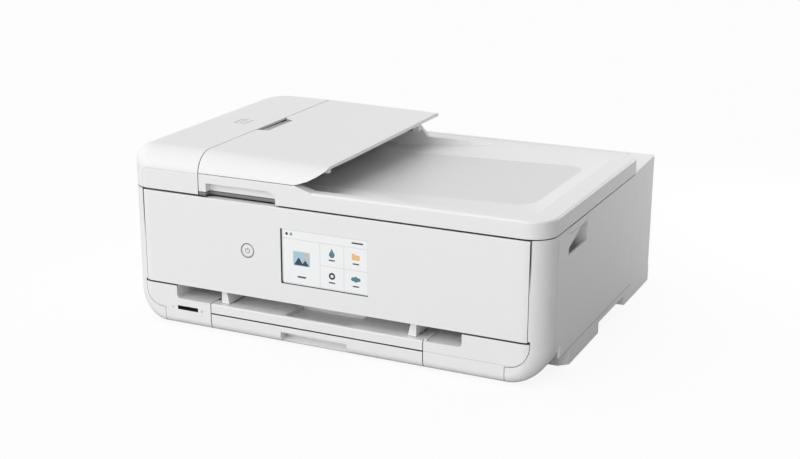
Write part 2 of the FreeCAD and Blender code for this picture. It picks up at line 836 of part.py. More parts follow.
def scan_carriage():
    """Sensor bar under the glass, carried by a bearing on the rail."""
    x = strip_left + 5
    bar_low = scan_low + 17
    bar_top = case_top - glass_drop - glass_thick - 2 - rest_gap
    bar = box(x, x + scan_bar, glass_front + 7, glass_back - 7, bar_low, bar_top)
    window = box(x + 8, x + scan_bar - 8, glass_front + 16, glass_back - 16, bar_top - 3, bar_top + 1)
    block = box(x, x + scan_bar, scan_rail_y - 9, scan_rail_y + 9, scan_low + wall + 1, bar_low + 1)
    bore = rod("x", (x - 1, scan_rail_y, scan_rail_z), scan_rail_radius + pin_fit, scan_bar + 2)
    return joined([bar, block]).cut(window).cut(bore)


# Lid and document feeder

def feeder_height(y):
    """Height of the feeder's top, which rises to the back."""
    start = front + feeder_round
    return feeder_front_z + (feeder_back_z - feeder_front_z) * (y - start) / (lid_back - start)


def feeder_profile(inset, low):
    """Side view of the feeder: flat front, round shoulder and a rising top."""
    near = front + inset
    far = lid_back - inset
    return [(near, low), (far, low), (far, feeder_height(far) - inset),
            (near, feeder_height(near) - inset, feeder_round - inset)]


def lid_plan(inset):
    side = half - inset
    near = front + inset
    far = lid_back - inset
    turn = front_round - inset
    return [(-side, near, turn), (side, near, turn), (side, far, 3.0), (-side, far, rear_round - inset)]


def feeder_form(inset, low):
    """Left part of the lid as one block, whose rolled top edge is wide at the front and tight at the back."""
    side = half - inset
    near = front + inset
    far = lid_back - inset
    right = tray_edge + 20
    plan = [(-side, near, front_round - inset), (right, near), (right, far), (-side, far, rear_round - inset)]
    shoulder = feeder_height(near) - inset
    slope = [(near, low), (far, low), (far, feeder_height(far) - inset), (near, shoulder)]
    block = prism("z", plan, low, feeder_back_z + 1).common(prism("x", slope, -side, right))
    roll = feeder_round - inset
    edge = feeder_edge - inset
    border = []
    for number, line in enumerate(block.Edges, 1):
        bounds = line.BoundBox
        if bounds.ZMin < shoulder - 1 or bounds.XMin > right - 1:
            continue
        at_front = bounds.YMax < near + front_round
        if bounds.XLength < 0.01:
            border.append((number, edge, edge))
        elif bounds.YLength < 0.01:
            radius = roll if at_front else feeder_back_edge
            border.append((number, radius, radius))
        else:
            border.append((number, roll, edge) if at_front else (number, edge, feeder_back_edge))
    return varied_fillet(block, border)


def floor_height(x):
    """Height of the dish floor, which climbs to the right."""
    right = dish_right - dish_bank
    return floor_left_z + (floor_right_z - floor_left_z) * (x - hollow_left) / (right - hollow_left)


def dish():
    """Room for the delivered documents: a hollow under the tray and a dish with sloping banks."""
    top_z = rim_top + 0.1

    def loop(x1, y0, y1, height, turn):
        points = [(hollow_left, y0), (x1, y0, turn), (x1, y1, turn), (hollow_left, y1)]
        return outline(points, lambda p: Vector(p.x, p.y, height(p.x)))

    outer = loop(dish_right, dish_front, dish_back, lambda x: top_z, 26.0)
    inner = loop(dish_right - dish_bank, dish_front + dish_front_bank, dish_back - dish_back_bank,
                 floor_height, 20.0)
    bank = Part.makeLoft([outer, inner], True, True)
    low = floor_height(hollow_right)
    ramp = [(hollow_right - 1, low), (hollow_right, low), (hollow_right + 98, top_z),
            (hollow_right + 98, 200), (hollow_right - 1, 200)]
    wedge = prism("y", ramp, dish_front, dish_back)
    hollow = prism("y", [(hollow_left, floor_height(hollow_left)), (hollow_right, low), (hollow_right, 200),
                         (hollow_left, 200)], dish_front, dish_back)
    return joined([hollow, wedge, bank])


def lid_shell():
    """Document cover: rim, output dish, feeder tub and the two raised walls beside the tray."""
    left = feeder_seam + fold_gap / 2
    rim = prism("z", lid_plan(0), lid_low, rim_top).common(box(left, half, front, lid_back, 0, rim_top))
    rim = softened(rim, 2.5, lambda e: e.BoundBox.ZMin > rim_top - 0.01 and e.BoundBox.XMax > half - 30 and
                   e.BoundBox.YMax < lid_back - 1)
    step = skirt_low - seam
    arm_end = arm_right + 18
    sweep = [(left, lid_low), (arm_end, lid_low), (arm_end, rim_top), (arm_right, step), (left, step)]
    raised = feeder_form(0, lid_low).common(prism("y", sweep, front, lid_back))
    arm_top = rim_top + rear_arm
    tall = [(feeder_seam + 84, lid_low), (arm_end, lid_low), (arm_end, rim_top), (arm_end - 12, arm_top),
            (feeder_seam + 84, arm_top)]
    rear = prism("y", tall, dish_back, lid_back)
    inset = wall + 1.6
    tub = feeder_form(inset, lid_low)
    tub = tub.common(box(tub_left, left + 1, front, lid_back, lid_low, tub_top))
    rim_inset = inset + wall
    room = prism("z", lid_plan(rim_inset), lid_low + wall, tub_top + 1)
    tub = tub.cut(room.common(box(tub_left + wall, left, front, lid_back, lid_low, tub_top + 1)))
    shell = joined([rim, raised, rear, tub]).cut(dish())
    exit_low = floor_height(hollow_left) + 3
    shell = shell.cut(box(left - 1, hollow_left + 1, dish_front + 47, dish_back - 44, exit_low, step - 4))
    cavity = box(glass_left + 8, glass_right - 8, glass_front + 8, glass_back - 8,
                 lid_low - 1, rim_top - wall)
    shell = shell.cut(cavity.cut(dish().translated(Vector(0, 0, -wall))))
    grip_right = arm_right - 22
    grip_left = feeder_seam + 9
    grip_top = rim_top - 4
    grip = [(grip_left, lid_low - 1), (grip_right, lid_low - 1), (grip_right, grip_top, 9.0),
            (grip_left, grip_top)]
    shell = shell.cut(prism("y", grip, front - 1, front + 8))
    for sign in (-1, 1):
        shell = lid_knuckle(shell, sign * lid_hinge_x)
    for y in cover_lugs():
        lug = box(-half + 0.8, tub_left + 1, y, y + lug_width, lid_low + 0.4, cover_axis_z + 3)
        shell = joined([shell, lug])
    return shell.cut(rod("y", (cover_axis_x, front, cover_axis_z), cover_pin + pin_fit, depth))


def lid_knuckle(shell, x):
    """Lid with a cut-out and its own knuckle at one of the back hinges."""
    away = hinge_width / 2 + 1
    start = x - hinge_width / 6 + rest_gap / 2
    length = hinge_width / 3 - rest_gap
    shell = shell.cut(box(x - away, x + away, lid_back - 5, back, 0, lid_axis_z + 6))
    arm = box(start, start + length, lid_back - 6, hinge_y, lid_axis_z - 2, lid_axis_z + 2)
    eye = rod("x", (start, hinge_y, lid_axis_z), knuckle, length)
    hole = rod("x", (start - 1, hinge_y, lid_axis_z), hinge_pin + pin_fit, length + 2)
    return joined([shell, arm, eye]).cut(hole)


def cover_lugs():
    return front + front_round + 2, lid_back - rear_round - lug_width - 6


def feeder_cover():
    """Hinged feeder cover on the left, pivoting on its lower left edge."""
    right = feeder_seam - fold_gap / 2
    low = lid_low + 0.3
    outer = feeder_form(0, lid_low).common(box(-half, right, front, lid_back, low, 300))
    cover = outer.cut(feeder_form(wall, lid_low - 5))
    chamfer = 1.6
    cover = cover.cut(prism("y", [(-half - 1, low - 1), (-half + chamfer, low - 1), (-half + chamfer, low),
                                  (-half, low + chamfer), (-half - 1, low + chamfer)], front - 1, back))
    for y in cover_lugs():
        cover = cover.cut(box(-half - 1, -half + 12, y - rest_gap, y + lug_width + rest_gap, 0,
                              cover_axis_z + 6))
        for y0 in (y - 5, y + lug_width + rest_gap):
            cheek = box(-half + chamfer + 0.5, tub_left - 1, y0, y0 + 5 - rest_gap,
                        cover_axis_z - 1.6, cover_axis_z + 6)
            cover = joined([cover, cheek])
        cover = joined([cover, rod("y", (cover_axis_x, y - 4, cover_axis_z), cover_pin, lug_width + 8)])
    return cover


def tilted(shape):
    """Shape turned about the feeder seam, so that the tray falls a little to the right."""
    return shape.rotated(Vector(feeder_seam, 0, feeder_back_z), Vector(0, 1, 0), tray_tilt)


def document_tray():
    """Fold-over document tray: a thin plate with a rounded front skirt."""
    left = feeder_seam + fold_gap / 2
    outer = tilted(feeder_form(0, lid_low))
    under = prism("x", feeder_profile(tray_thick, lid_low - 5), -half, half)
    under = under.fuse(box(-half, half, lid_back - 20, back, 0, feeder_back_z - tray_thick - 0.5))
    sweep = [(left, skirt_low), (arm_right, skirt_low), (arm_right + 13, skirt_low + 4.5),
             (arm_right + 22, skirt_low + 9.5), (tray_edge, skirt_low + 15), (tray_edge, 300), (left, 300)]
    plate = outer.cut(tilted(under)).common(prism("y", sweep, front - 1, lid_back + 1))
    y0, y1 = notch_front, notch_front + notch_length
    base = feeder_height(y1) - notch_drop
    right = left + notch_width
    cup = box(left, right + 2, y0 - 2, y1 + 2, base - 2, base + 6).common(outer)
    notch = prism("z", [(left - 1, y0), (right, y0 + 4), (right, y1 - 4), (left - 1, y1)], base, 300)
    plate = joined([plate, cup]).cut(notch)
    for y in tray_lugs():
        ear = box(tray_axis_x - 4, tray_axis_x + 4, y - 5, y - rest_gap,
                  tray_axis_z - tray_eye, feeder_back_z).common(outer)
        pin = rod("y", (tray_axis_x, y - 5, tray_axis_z), tray_pin, 5 + lug_width)
        plate = joined([plate, ear, pin])
    return plate


def tray_lugs():
    return front + 31, lid_back - 40


def feeder_frame():
    """Document path under the tray, with roller cheeks and the arms that carry the tray's pivots."""
    low = skirt_low - seam
    left = feeder_rollers()[0][0] - 14
    inner = feeder_seam - 0.3
    y0, y1 = cheek_places()
    deck = box(inner, feeder_seam + 80, dish_front - 3, dish_back + 3, low, low + wall)
    deck = deck.fuse(box(left, inner, y0, y1 + wall, low, low + wall))
    pieces = [deck]
    side = [(left - 32, lid_low + wall), (inner, lid_low + wall), (inner, low), (inner + 12, low),
            (inner + 12, low + 5), (inner, low + 11), (left - 6, low + 11), (left - 32, low + 1)]
    for y in (y0, y1):
        pieces.append(prism("y", side, y, y + wall))
    for y in tray_lugs():
        foot = feeder_seam + 66
        arm = [(foot, low), (foot + 22, low), (tray_axis_x, tray_axis_z - tray_eye),
               (tray_axis_x, tray_axis_z + tray_eye), (foot, low + 6)]
        pieces.append(prism("y", arm, y, y + lug_width))
        pieces.append(rod("y", (tray_axis_x, y, tray_axis_z), tray_eye, lug_width))
    frame = joined(pieces)
    for y in tray_lugs():
        frame = frame.cut(rod("y", (tray_axis_x, y - 1, tray_axis_z), tray_pin + pin_fit, lug_width + 2))
    slot = box(guide_slot_x - 5, guide_slot_x + 5, dish_front + 20, dish_back - 20, low + wall - 1, low + 5)
    frame = frame.cut(slot)
    for x, z, radius in feeder_rollers():
        frame = frame.cut(rod("y", (x, front, z), radius / 3 + pin_fit, depth))
    return frame


def cheek_places():
    return front + 23, lid_back - 21


def feeder_rollers():
    deck_top = skirt_low - seam + wall
    return (feeder_seam - 10, deck_top + rest_gap + 5, 5.0), (feeder_seam - 40, rim_top - 1.5, 8.0)


def feeder_roller(index):
    """Rubber roller on a shaft between the cheeks of the feeder frame."""
    x, z, radius = feeder_rollers()[index]
    y0, y1 = cheek_places()
    shaft = rod("y", (x, y0, z), radius / 3, y1 + wall - y0)
    tyres = [rod("y", (x, front + 93 + 40 * i, z), radius, 26) for i in range(3)]
    return joined([shaft] + tyres)


def document_guide(side):
    """Edge guide of the document tray, running in a slot across the feeder deck."""
    low = skirt_low - seam + wall
    y = dish_front + document_guide_rest if side < 0 else dish_back - document_guide_rest
    face = box(feeder_seam + 8, feeder_seam + 74, y - wall / 2, y + wall / 2, low + rest_gap, low + 9)
    foot = box(guide_slot_x - 4.7, guide_slot_x + 4.7, y - 12, y + 12, low - 0.7, low + rest_gap + 1)
    return joined([face, foot])


def lid_pad():
    gap = 3.0
    top = case_top - glass_drop
    return box(glass_left + gap, glass_right - gap, glass_front + gap, glass_back - gap, top + rest_gap,
               lid_low)


# Print mechanism

def chassis_frame():
    """Folded sheet frame: floor, back and side plates that carry every shaft."""
    top = scan_low - rest_gap
    side = frame_half
    floor = box(-side, side, -20, frame_back, rail_top, rail_top + 2)
    ends = [box(carriage_left - 20, side, frame_front, -20, rail_top, rail_top + 2),
            box(-side, -roller_half - 6, frame_front, -20, rail_top, rail_top + 2)]
    rear = box(-side, side, frame_back - sheet, frame_back, rail_top, scan_low - 4)
    cheeks = [box(-side, -side + sheet, frame_front, frame_back, rail_top, top),
              box(side - sheet, side, frame_front, frame_back, rail_top, top)]
    hanger = box(-side, -side + sheet, feed_y, feed_y + 36, rail_top - 22, rail_top + 1)
    post = rod("z", (pulley_x, pulley_y, rail_top), 2, pulley_z + 10 - rail_top)
    frame = joined([floor, rear, hanger, post] + ends + cheeks)
    shafts = ((shaft_y, shaft_z, shaft_radius), (feed_y, feed_z, journal), (eject_y, eject_z, journal))
    for y, z, radius in shafts:
        frame = frame.cut(rod("x", (-side - 1, y, z), radius + pin_fit, 2 * side + 2))
    y, z = idler_place()
    frame = frame.cut(rod("x", (-side - 1, y, z), 2 + pin_fit, 10))
    y, z = pinion_place()
    return frame.cut(rod("x", (-side - 1, y, z), 2.5, 10))


def gear_pitch():
    return (feed_y - eject_y) / 4


def gear_x():
    return -frame_half - gear_width - rest_gap


def idler_place():
    return (feed_y + eject_y) / 2, feed_z


def pinion_place():
    reach = gear_pitch() + pinion_pitch
    drop = math.radians(-pinion_drop)
    return feed_y + reach * math.cos(drop), feed_z + reach * math.sin(drop)


def roller(y, z):
    """Steel roller with its journals and the gear pressed on its left end."""
    barrel = rod("x", (-roller_half, y, z), roller_radius, 2 * roller_half)
    axle = rod("x", (gear_x(), y, z), journal, 2 * frame_half + gear_width + rest_gap)
    wheel = gear(gear_x(), y, z, gear_pitch(), journal - 0.5)
    return joined([barrel, axle, wheel])


def idler_gear():
    y, z = idler_place()
    wheel = gear(gear_x(), y, z, gear_pitch(), 1.5)
    return joined([wheel, rod("x", (gear_x(), y, z), 2, gear_width + 6)])


def pinion():
    y, z = pinion_place()
    return gear(gear_x(), y, z, pinion_pitch, 1.5 + pin_fit)


def feed_motor():
    y, z = pinion_place()
    can = rod("x", (-frame_half + sheet, y, z), motor_radius, 28)
    return joined([can, rod("x", (gear_x(), y, z), 1.5, gear_width + 6)])


def carriage_shaft():
    return rod("x", (-frame_half, shaft_y, shaft_z), shaft_radius, 2 * frame_half)


def carriage_motor():
    body = rod("z", (-pulley_x, pulley_y, rail_top + 2), 13, pulley_z - rail_top - 4)
    return joined([body, rod("z", (-pulley_x, pulley_y, rail_top + 2), 2, pulley_z + 8 - rail_top)])


def belt_pulley(side):
    x = side * pulley_x
    wheel = rod("z", (x, pulley_y, pulley_z), pulley_radius, belt_height + 1)
    flange = rod("z", (x, pulley_y, pulley_z - 0.8), pulley_radius + 0.9, 0.8)
    return joined([wheel, flange]).cut(rod("z", (x, pulley_y, pulley_z - 2), 2 + pin_fit, 20))


def belt_loop(radius):
    ends = [rod("z", (x, pulley_y, pulley_z + 0.5), radius, belt_height) for x in (-pulley_x, pulley_x)]
    low = pulley_z + 0.5
    middle = box(-pulley_x, pulley_x, pulley_y - radius, pulley_y + radius, low, low + belt_height)
    return joined(ends + [middle])


def drive_belt():
    inner = pulley_radius + pin_fit
    return belt_loop(inner + belt_thick).cut(belt_loop(inner))


def print_carriage():
    """Open holder for the ink tanks, with a bearing on the shaft and a belt clip."""
    tub = box(carriage_left, carriage_right, carriage_front, carriage_back, carriage_low, carriage_high)
    tub = tub.cut(box(carriage_left + 2, carriage_right - 2, carriage_front + 2, carriage_back - 2,
                      carriage_low + 6, carriage_high + 1))
    bearing = box(carriage_left, carriage_right, carriage_back, shaft_y + 8, shaft_z - 7, shaft_z + 9)
    belt_front = pulley_y - pulley_radius - belt_thick - pin_fit
    clip = box(carriage_left + 20, carriage_left + 40, carriage_back, belt_front - rest_gap,
               pulley_z, shaft_z - 6)
    length = carriage_right - carriage_left + 2
    bore = rod("x", (carriage_left - 1, shaft_y, shaft_z), shaft_radius + pin_fit, length)
    return joined([tub, bearing, clip]).cut(bore)


def ink_tanks():
    gap = 0.5
    inner_left = carriage_left + 2
    step = (carriage_right - carriage_left - 4) / tank_count
    tanks = []
    for i in range(tank_count):
        left = inner_left + i * step + gap / 2
        tank = box(left, left + step - gap, carriage_front + 2.3, carriage_back - 2.3,
                   carriage_low + 6, carriage_high + 5)
        tanks.append(softened(tank, 2.0, lambda e: runs_along(e, "x")))
    return Part.Compound(tanks)


def platen():
    """Ribbed support under the print line."""
    low = rail_top + 2
    top = carriage_low - 3
    left, right = -roller_half, carriage_left - 12
    deck = box(left, right, eject_y + roller_radius + 3, feed_y - roller_radius - 2, low, top - 1.5)
    deck = deck.cut(box(left + 3, right - 3, eject_y + roller_radius + 6, feed_y - roller_radius - 5,
                        low - 1, top - 4))
    ribs = []
    for i in range(int((right - left - 8) / rib_pitch)):
        x = left + 6 + rib_pitch * i
        ribs.append(box(x, x + 2, eject_y + roller_radius + 8, feed_y - roller_radius - 4, top - 2, top))
    return joined([deck] + ribs)


def maintenance_unit():
    low = rail_top + 2
    far = carriage_back - 6
    unit = box(carriage_left + 4, carriage_right - 2, carriage_front, far, low, carriage_low - 5)
    for x in (carriage_left + 10, carriage_left + 36):
        cap = box(x, x + 20, carriage_front + 10, far - 10, carriage_low - 6, carriage_low - rest_gap)
        well = box(x + 2, x + 18, carriage_front + 12, far - 12, carriage_low - 3, carriage_low)
        unit = joined([unit, cap]).cut(well)
    return unit


def encoder_strip():
    y = frame_back - sheet - 0.6
    return box(-frame_half + sheet, frame_half - sheet, y, y + 0.6, scan_low - 11, scan_low - 5)


def output_frame():
    """Cross bar above the paper outlet with the two tapered guide walls."""
    low = panel_low - seam
    near = front + panel_depth + 4
    bar = box(recess_left - 20, recess_right + 20, near, near + 4, low, low + 14)
    foot = lip_z + slide_gap
    y0 = front + post_set
    y1 = y0 + post_length
    left = centre_left + post_inset
    right = centre_right - post_inset
    walls = [
        [(left, foot), (left + post_width, foot), (left + post_width - post_lean, low), (left, low)],
        [(right - post_width, foot), (right, foot), (right, low), (right - post_width + post_lean, low)],
    ]
    tie = box(left, right, near, y1, low - 1, low + 2)
    return joined([bar, tie] + [prism("y", taper, y0, y1) for taper in walls])


def power_supply():
    left = centre_right + 10
    right = half - 22
    near = shaft_y - 20
    far = back - 33
    top = floor_top + 32
    case = box(left, right, near, far, floor_top, top)
    count = int((right - left - 10) / 12)
    starts = [left + 6 + 12 * i for i in range(count)]
    fins = [box(x, x + 4, near + 10, far - 10, top - 1, top + 2) for x in starts]
    return joined([case] + fins)


def main_board():
    low = floor_top + 16
    left = -half + 10
    far = back - 19
    board = box(left, left + 78, frame_back - 3.5, far, low, low + 1.6)
    chips = [
        box(left + 18, left + 42, far - 74, far - 50, low + 1, low + 4),
        box(left + 50, left + 66, far - 72, far - 56, low + 1, low + 3.2),
        box(left + 8, left + 18, far - 40, far - 8, low + 1, low + 9),
        box(left + 48, left + 72, far - 24, far - 12, low + 1, low + 7),
    ]
    return joined([board] + chips)


def ink_absorber():
    left = centre_right + 10
    right = half - 28
    near = front + 71
    far = carriage_back - 8
    tray = box(left, right, near, far, floor_top, floor_top + 20)
    tray = tray.cut(box(left + 2, right - 2, near + 2, far - 2, floor_top + 2, floor_top + 21))
    return joined([tray, box(left + 1, right - 1, near + 1, far - 1, floor_top + 1, floor_top + 17)])


nodes = {
    "base_tray": base_tray,
    "left_side_shell": lambda: mirrored(side_shell()),
    "right_side_shell": side_shell,
    "rear_cover": rear_cover,
    "rear_chute": rear_chute,
    "front_left_block": left_block,
    "front_right_block": lambda: front_block(1),
    "card_slot": card_slot,
    "access_lamp": access_lamp,
    "rubber_feet": rubber_feet,
    "case_screws": case_screws,
    "power_inlet": power_inlet,
    "usb_socket": usb_socket,
    "operation_panel": operation_panel,
    "touch_screen": touch_screen,
    "power_button": power_button,
    "output_tray": output_tray,
    "output_frame": output_frame,
    "cassette": cassette,
    "left_cassette_guide": lambda: cassette_guide(-1),
    "right_cassette_guide": lambda: cassette_guide(1),
    "end_cassette_guide": end_guide,
    "rear_tray_cover": rear_tray_cover,
    "left_rear_guide": lambda: rear_guide(-1),
    "right_rear_guide": lambda: rear_guide(1),
    "scanner_frame": scanner_frame,
    "scanner_hinge_pins": lambda: hinge_pins(scan_hinge_x, case_top),
    "lid_hinge_pins": lambda: hinge_pins(lid_hinge_x, lid_axis_z),
    "platen_glass": lambda: glass_plate(glass_left, glass_right),
    "feeder_glass": lambda: glass_plate(strip_left, strip_right),
    "scan_rail": scan_rail,
    "scan_carriage": scan_carriage,
    "lid_shell": lid_shell,
    "lid_pad": lid_pad,
    "feeder_frame": feeder_frame,
    "feeder_cover": feeder_cover,
    "document_tray": document_tray,
    "front_document_guide": lambda: document_guide(-1),
    "rear_document_guide": lambda: document_guide(1),
    "feeder_pickup_roller": lambda: feeder_roller(0),
    "feeder_drive_roller": lambda: feeder_roller(1),
    "chassis_frame": chassis_frame,
    "carriage_shaft": carriage_shaft,
    "print_carriage": print_carriage,
    "ink_tanks": ink_tanks,
    "platen": platen,
    "maintenance_unit": maintenance_unit,
    "line_feed_roller": lambda: roller(feed_y, feed_z),
    "eject_roller": lambda: roller(eject_y, eject_z),
    "idler_gear": idler_gear,
    "motor_pinion": pinion,
    "feed_motor": feed_motor,
    "carriage_motor": carriage_motor,
    "motor_pulley": lambda: belt_pulley(-1),
    "idler_pulley": lambda: belt_pulley(1),
    "drive_belt": drive_belt,
    "encoder_strip": encoder_strip,
    "power_supply": power_supply,
    "main_board": main_board,
    "ink_absorber": ink_absorber,
}

os.makedirs("parts", exist_ok=True)
for name, make in nodes.items():
    shape = make()
    shape.exportStep("parts/" + name + ".step")
    bounds = shape.BoundBox
    spans = (bounds.XMin, bounds.XMax, bounds.YMin, bounds.YMax, bounds.ZMin, bounds.ZMax)
    print(name, len(shape.Solids), shape.isValid(), "x %.1f %.1f y %.1f %.1f z %.1f %.1f" % spans)
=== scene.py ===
import bpy
import math
from mathutils import Matrix, Vector


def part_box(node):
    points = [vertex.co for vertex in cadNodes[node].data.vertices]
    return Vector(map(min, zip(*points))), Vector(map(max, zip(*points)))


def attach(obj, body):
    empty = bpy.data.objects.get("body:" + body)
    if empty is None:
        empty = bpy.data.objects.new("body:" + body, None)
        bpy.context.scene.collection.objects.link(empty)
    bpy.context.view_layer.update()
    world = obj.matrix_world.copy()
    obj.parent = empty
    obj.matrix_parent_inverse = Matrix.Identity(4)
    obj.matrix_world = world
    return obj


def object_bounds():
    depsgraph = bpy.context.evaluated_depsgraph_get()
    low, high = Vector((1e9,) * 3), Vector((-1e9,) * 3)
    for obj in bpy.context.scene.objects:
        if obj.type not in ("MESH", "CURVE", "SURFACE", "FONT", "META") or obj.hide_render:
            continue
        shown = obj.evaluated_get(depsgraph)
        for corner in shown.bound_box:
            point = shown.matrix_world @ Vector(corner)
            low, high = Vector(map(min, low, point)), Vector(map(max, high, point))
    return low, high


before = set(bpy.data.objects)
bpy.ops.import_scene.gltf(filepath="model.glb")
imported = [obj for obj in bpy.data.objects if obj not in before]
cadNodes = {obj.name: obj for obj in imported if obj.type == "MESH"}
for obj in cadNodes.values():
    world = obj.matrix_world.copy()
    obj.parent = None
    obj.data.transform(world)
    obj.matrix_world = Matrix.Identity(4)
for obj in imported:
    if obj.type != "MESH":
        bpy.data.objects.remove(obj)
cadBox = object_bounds()
frontY = cadBox[0][1]
mm = 0.001
print("frame loaded with", len(cadNodes), "nodes")


# shader helpers

def addNode(tree, kind, values=None, **settings):
    node = tree.nodes.new(kind)
    for key, value in settings.items():
        setattr(node, key, value)
    for key, value in (values or {}).items():
        node.inputs[key].default_value = value
    return node


def wire(tree, source, target):
    tree.links.new(source, target)


def mathNode(tree, operation, *values):
    node = addNode(tree, "ShaderNodeMath", operation=operation)
    for socket, value in zip(node.inputs, values):
        if isinstance(value, (int, float)):
            socket.default_value = value
        else:
            wire(tree, value, socket)
    return node.outputs[0]


def lengthOf(tree, first, second):  # long side over two sides at a right angle
    squares = [mathNode(tree, "MULTIPLY", side, side) for side in (first, second)]
    return mathNode(tree, "SQRT", mathNode(tree, "ADD", *squares))


def fade(tree, value, low, high):  # 1 below low, 0 above high
    ends = {"From Min": low, "From Max": high, "To Min": 1.0, "To Max": 0.0}
    node = addNode(tree, "ShaderNodeMapRange", ends, interpolation_type="SMOOTHSTEP")
    wire(tree, value, node.inputs["Value"])
    return node.outputs["Result"]


def mixColors(tree, factor, first, second):
    node = addNode(tree, "ShaderNodeMix", data_type="RGBA", blend_type="MIX")
    for socket, value in ((node.inputs[0], factor), (node.inputs[6], first), (node.inputs[7], second)):
        if hasattr(value, "is_linked"):
            wire(tree, value, socket)
        else:
            socket.default_value = value
    return node.outputs[2]


def scaleColor(tree, color, share):
    node = addNode(tree, "ShaderNodeVectorMath", operation="SCALE")
    wire(tree, color, node.inputs[0])
    wire(tree, share, node.inputs["Scale"])
    return node.outputs[0]


def newGroup(name, inputs, outputs):
    group = bpy.data.node_groups.new(name, "ShaderNodeTree")
    for label, kind, value in inputs:
        socket = group.interface.new_socket(name=label, in_out="INPUT", socket_type=kind)
        socket.default_value = value
    for label, kind in outputs:
        group.interface.new_socket(name=label, in_out="OUTPUT", socket_type=kind)
    return group, group.nodes.new("NodeGroupInput"), group.nodes.new("NodeGroupOutput")


skinSet = {"cloudScale": 7.0, "smearScale": 38.0, "shut": (0.05, 0.42)}


def makeMouldedSkin():  # cloudy tint, fine spark-eroded grain, uneven gloss and painted shade in crevices
    group, given, result = newGroup("mouldedSkin", [
        ("Tint", "NodeSocketColor", (0.8, 0.8, 0.8, 1)),
        ("Cloud", "NodeSocketFloat", 0.03),
        ("Grain Scale", "NodeSocketFloat", 1800.0),
        ("Rough", "NodeSocketFloat", 0.45),
        ("Rough Spread", "NodeSocketFloat", 0.06),
        ("Openness", "NodeSocketFloat", 1.0),
        ("Crevice Shade Tone", "NodeSocketFloat", 0.04),
    ], [("Color", "NodeSocketColor"), ("Roughness", "NodeSocketFloat"), ("Height", "NodeSocketFloat")])
    coords = addNode(group, "ShaderNodeTexCoord")
    cloud = addNode(group, "ShaderNodeTexNoise", {"Scale": skinSet["cloudScale"], "Detail": 2.0})
    grain = addNode(group, "ShaderNodeTexNoise", {"Detail": 1.5, "Roughness": 0.6})
    smear = addNode(group, "ShaderNodeTexNoise", {"Scale": skinSet["smearScale"], "Detail": 3.0})
    for noise in (cloud, grain, smear):
        wire(group, coords.outputs["Object"], noise.inputs["Vector"])
    wire(group, given.outputs["Grain Scale"], grain.inputs["Scale"])
    darker = mathNode(group, "MULTIPLY", cloud.outputs["Fac"], given.outputs["Cloud"])
    shut = fade(group, given.outputs["Openness"], *skinSet["shut"])
    shadeDrop = mathNode(group, "SUBTRACT", 1.0, given.outputs["Crevice Shade Tone"])
    lit = mathNode(group, "SUBTRACT", 1.0, mathNode(group, "MULTIPLY", shut, shadeDrop))
    share = mathNode(group, "MULTIPLY", mathNode(group, "SUBTRACT", 1.0, darker), lit)
    wire(group, scaleColor(group, given.outputs["Tint"], share), result.inputs["Color"])
    spread = mathNode(group, "MULTIPLY", mathNode(group, "SUBTRACT", smear.outputs["Fac"], 0.5),
                      given.outputs["Rough Spread"])
    wire(group, mathNode(group, "ADD", given.outputs["Rough"], spread), result.inputs["Roughness"])
    wire(group, grain.outputs["Fac"], result.inputs["Height"])
    return group


drawnSet = {"stretch": (6.0, 900.0, 900.0), "tintStreak": 0.25, "tintBase": 0.86, "roughStreak": 0.2}


def makeDrawnMetal():  # long fine scratches along X
    group, given, result = newGroup("drawnMetal", [
        ("Tint", "NodeSocketColor", (0.6, 0.6, 0.6, 1)),
        ("Rough", "NodeSocketFloat", 0.3),
    ], [("Color", "NodeSocketColor"), ("Roughness", "NodeSocketFloat"), ("Height", "NodeSocketFloat")])
    coords = addNode(group, "ShaderNodeTexCoord")
    stretch = addNode(group, "ShaderNodeMapping", {"Scale": drawnSet["stretch"]})
    wire(group, coords.outputs["Object"], stretch.inputs["Vector"])
    streak = addNode(group, "ShaderNodeTexNoise", {"Scale": 1.0, "Detail": 4.0})
    wire(group, stretch.outputs["Vector"], streak.inputs["Vector"])
    mark = streak.outputs["Fac"]
    share = mathNode(group, "MULTIPLY_ADD", mark, drawnSet["tintStreak"], drawnSet["tintBase"])
    rough = mathNode(group, "MULTIPLY_ADD", mark, drawnSet["roughStreak"], given.outputs["Rough"])
    wire(group, scaleColor(group, given.outputs["Tint"], share), result.inputs["Color"])
    wire(group, rough, result.inputs["Roughness"])
    wire(group, mark, result.inputs["Height"])
    return group


mouldedSkin = makeMouldedSkin()
drawnMetal = makeDrawnMetal()


def newMaterial(name):
    material = bpy.data.materials.new(name)
    material.use_nodes = True
    tree = material.node_tree
    return material, tree, tree.nodes["Principled BSDF"]


def useSkin(tree, shader, group, values):  # places a group and wires its tint and gloss
    skin = addNode(tree, "ShaderNodeGroup", values, node_tree=group)
    wire(tree, skin.outputs["Color"], shader.inputs["Base Color"])
    wire(tree, skin.outputs["Roughness"], shader.inputs["Roughness"])
    return skin


def addBump(tree, shader, height, distance, strength):
    bump = addNode(tree, "ShaderNodeBump", {"Distance": distance, "Strength": strength})
    wire(tree, height, bump.inputs["Height"])
    wire(tree, bump.outputs["Normal"], shader.inputs["Normal"])


def placeOf(tree):  # X, Y and Z of a point in the part's own frame
    split = tree.nodes.get("place")
    if split is None:
        coords = addNode(tree, "ShaderNodeTexCoord")
        split = addNode(tree, "ShaderNodeSeparateXYZ", name="place")
        wire(tree, coords.outputs["Object"], split.inputs[0])
    return split.outputs


creviceShadeSet = {"reach": 0.010, "samples": 8}  # how far a crevice looks for its other wall, for the painted crevice shade
bumpSet = {"plastic": 0.35, "metal": 0.3, "metalDepth": 0.01 * mm}


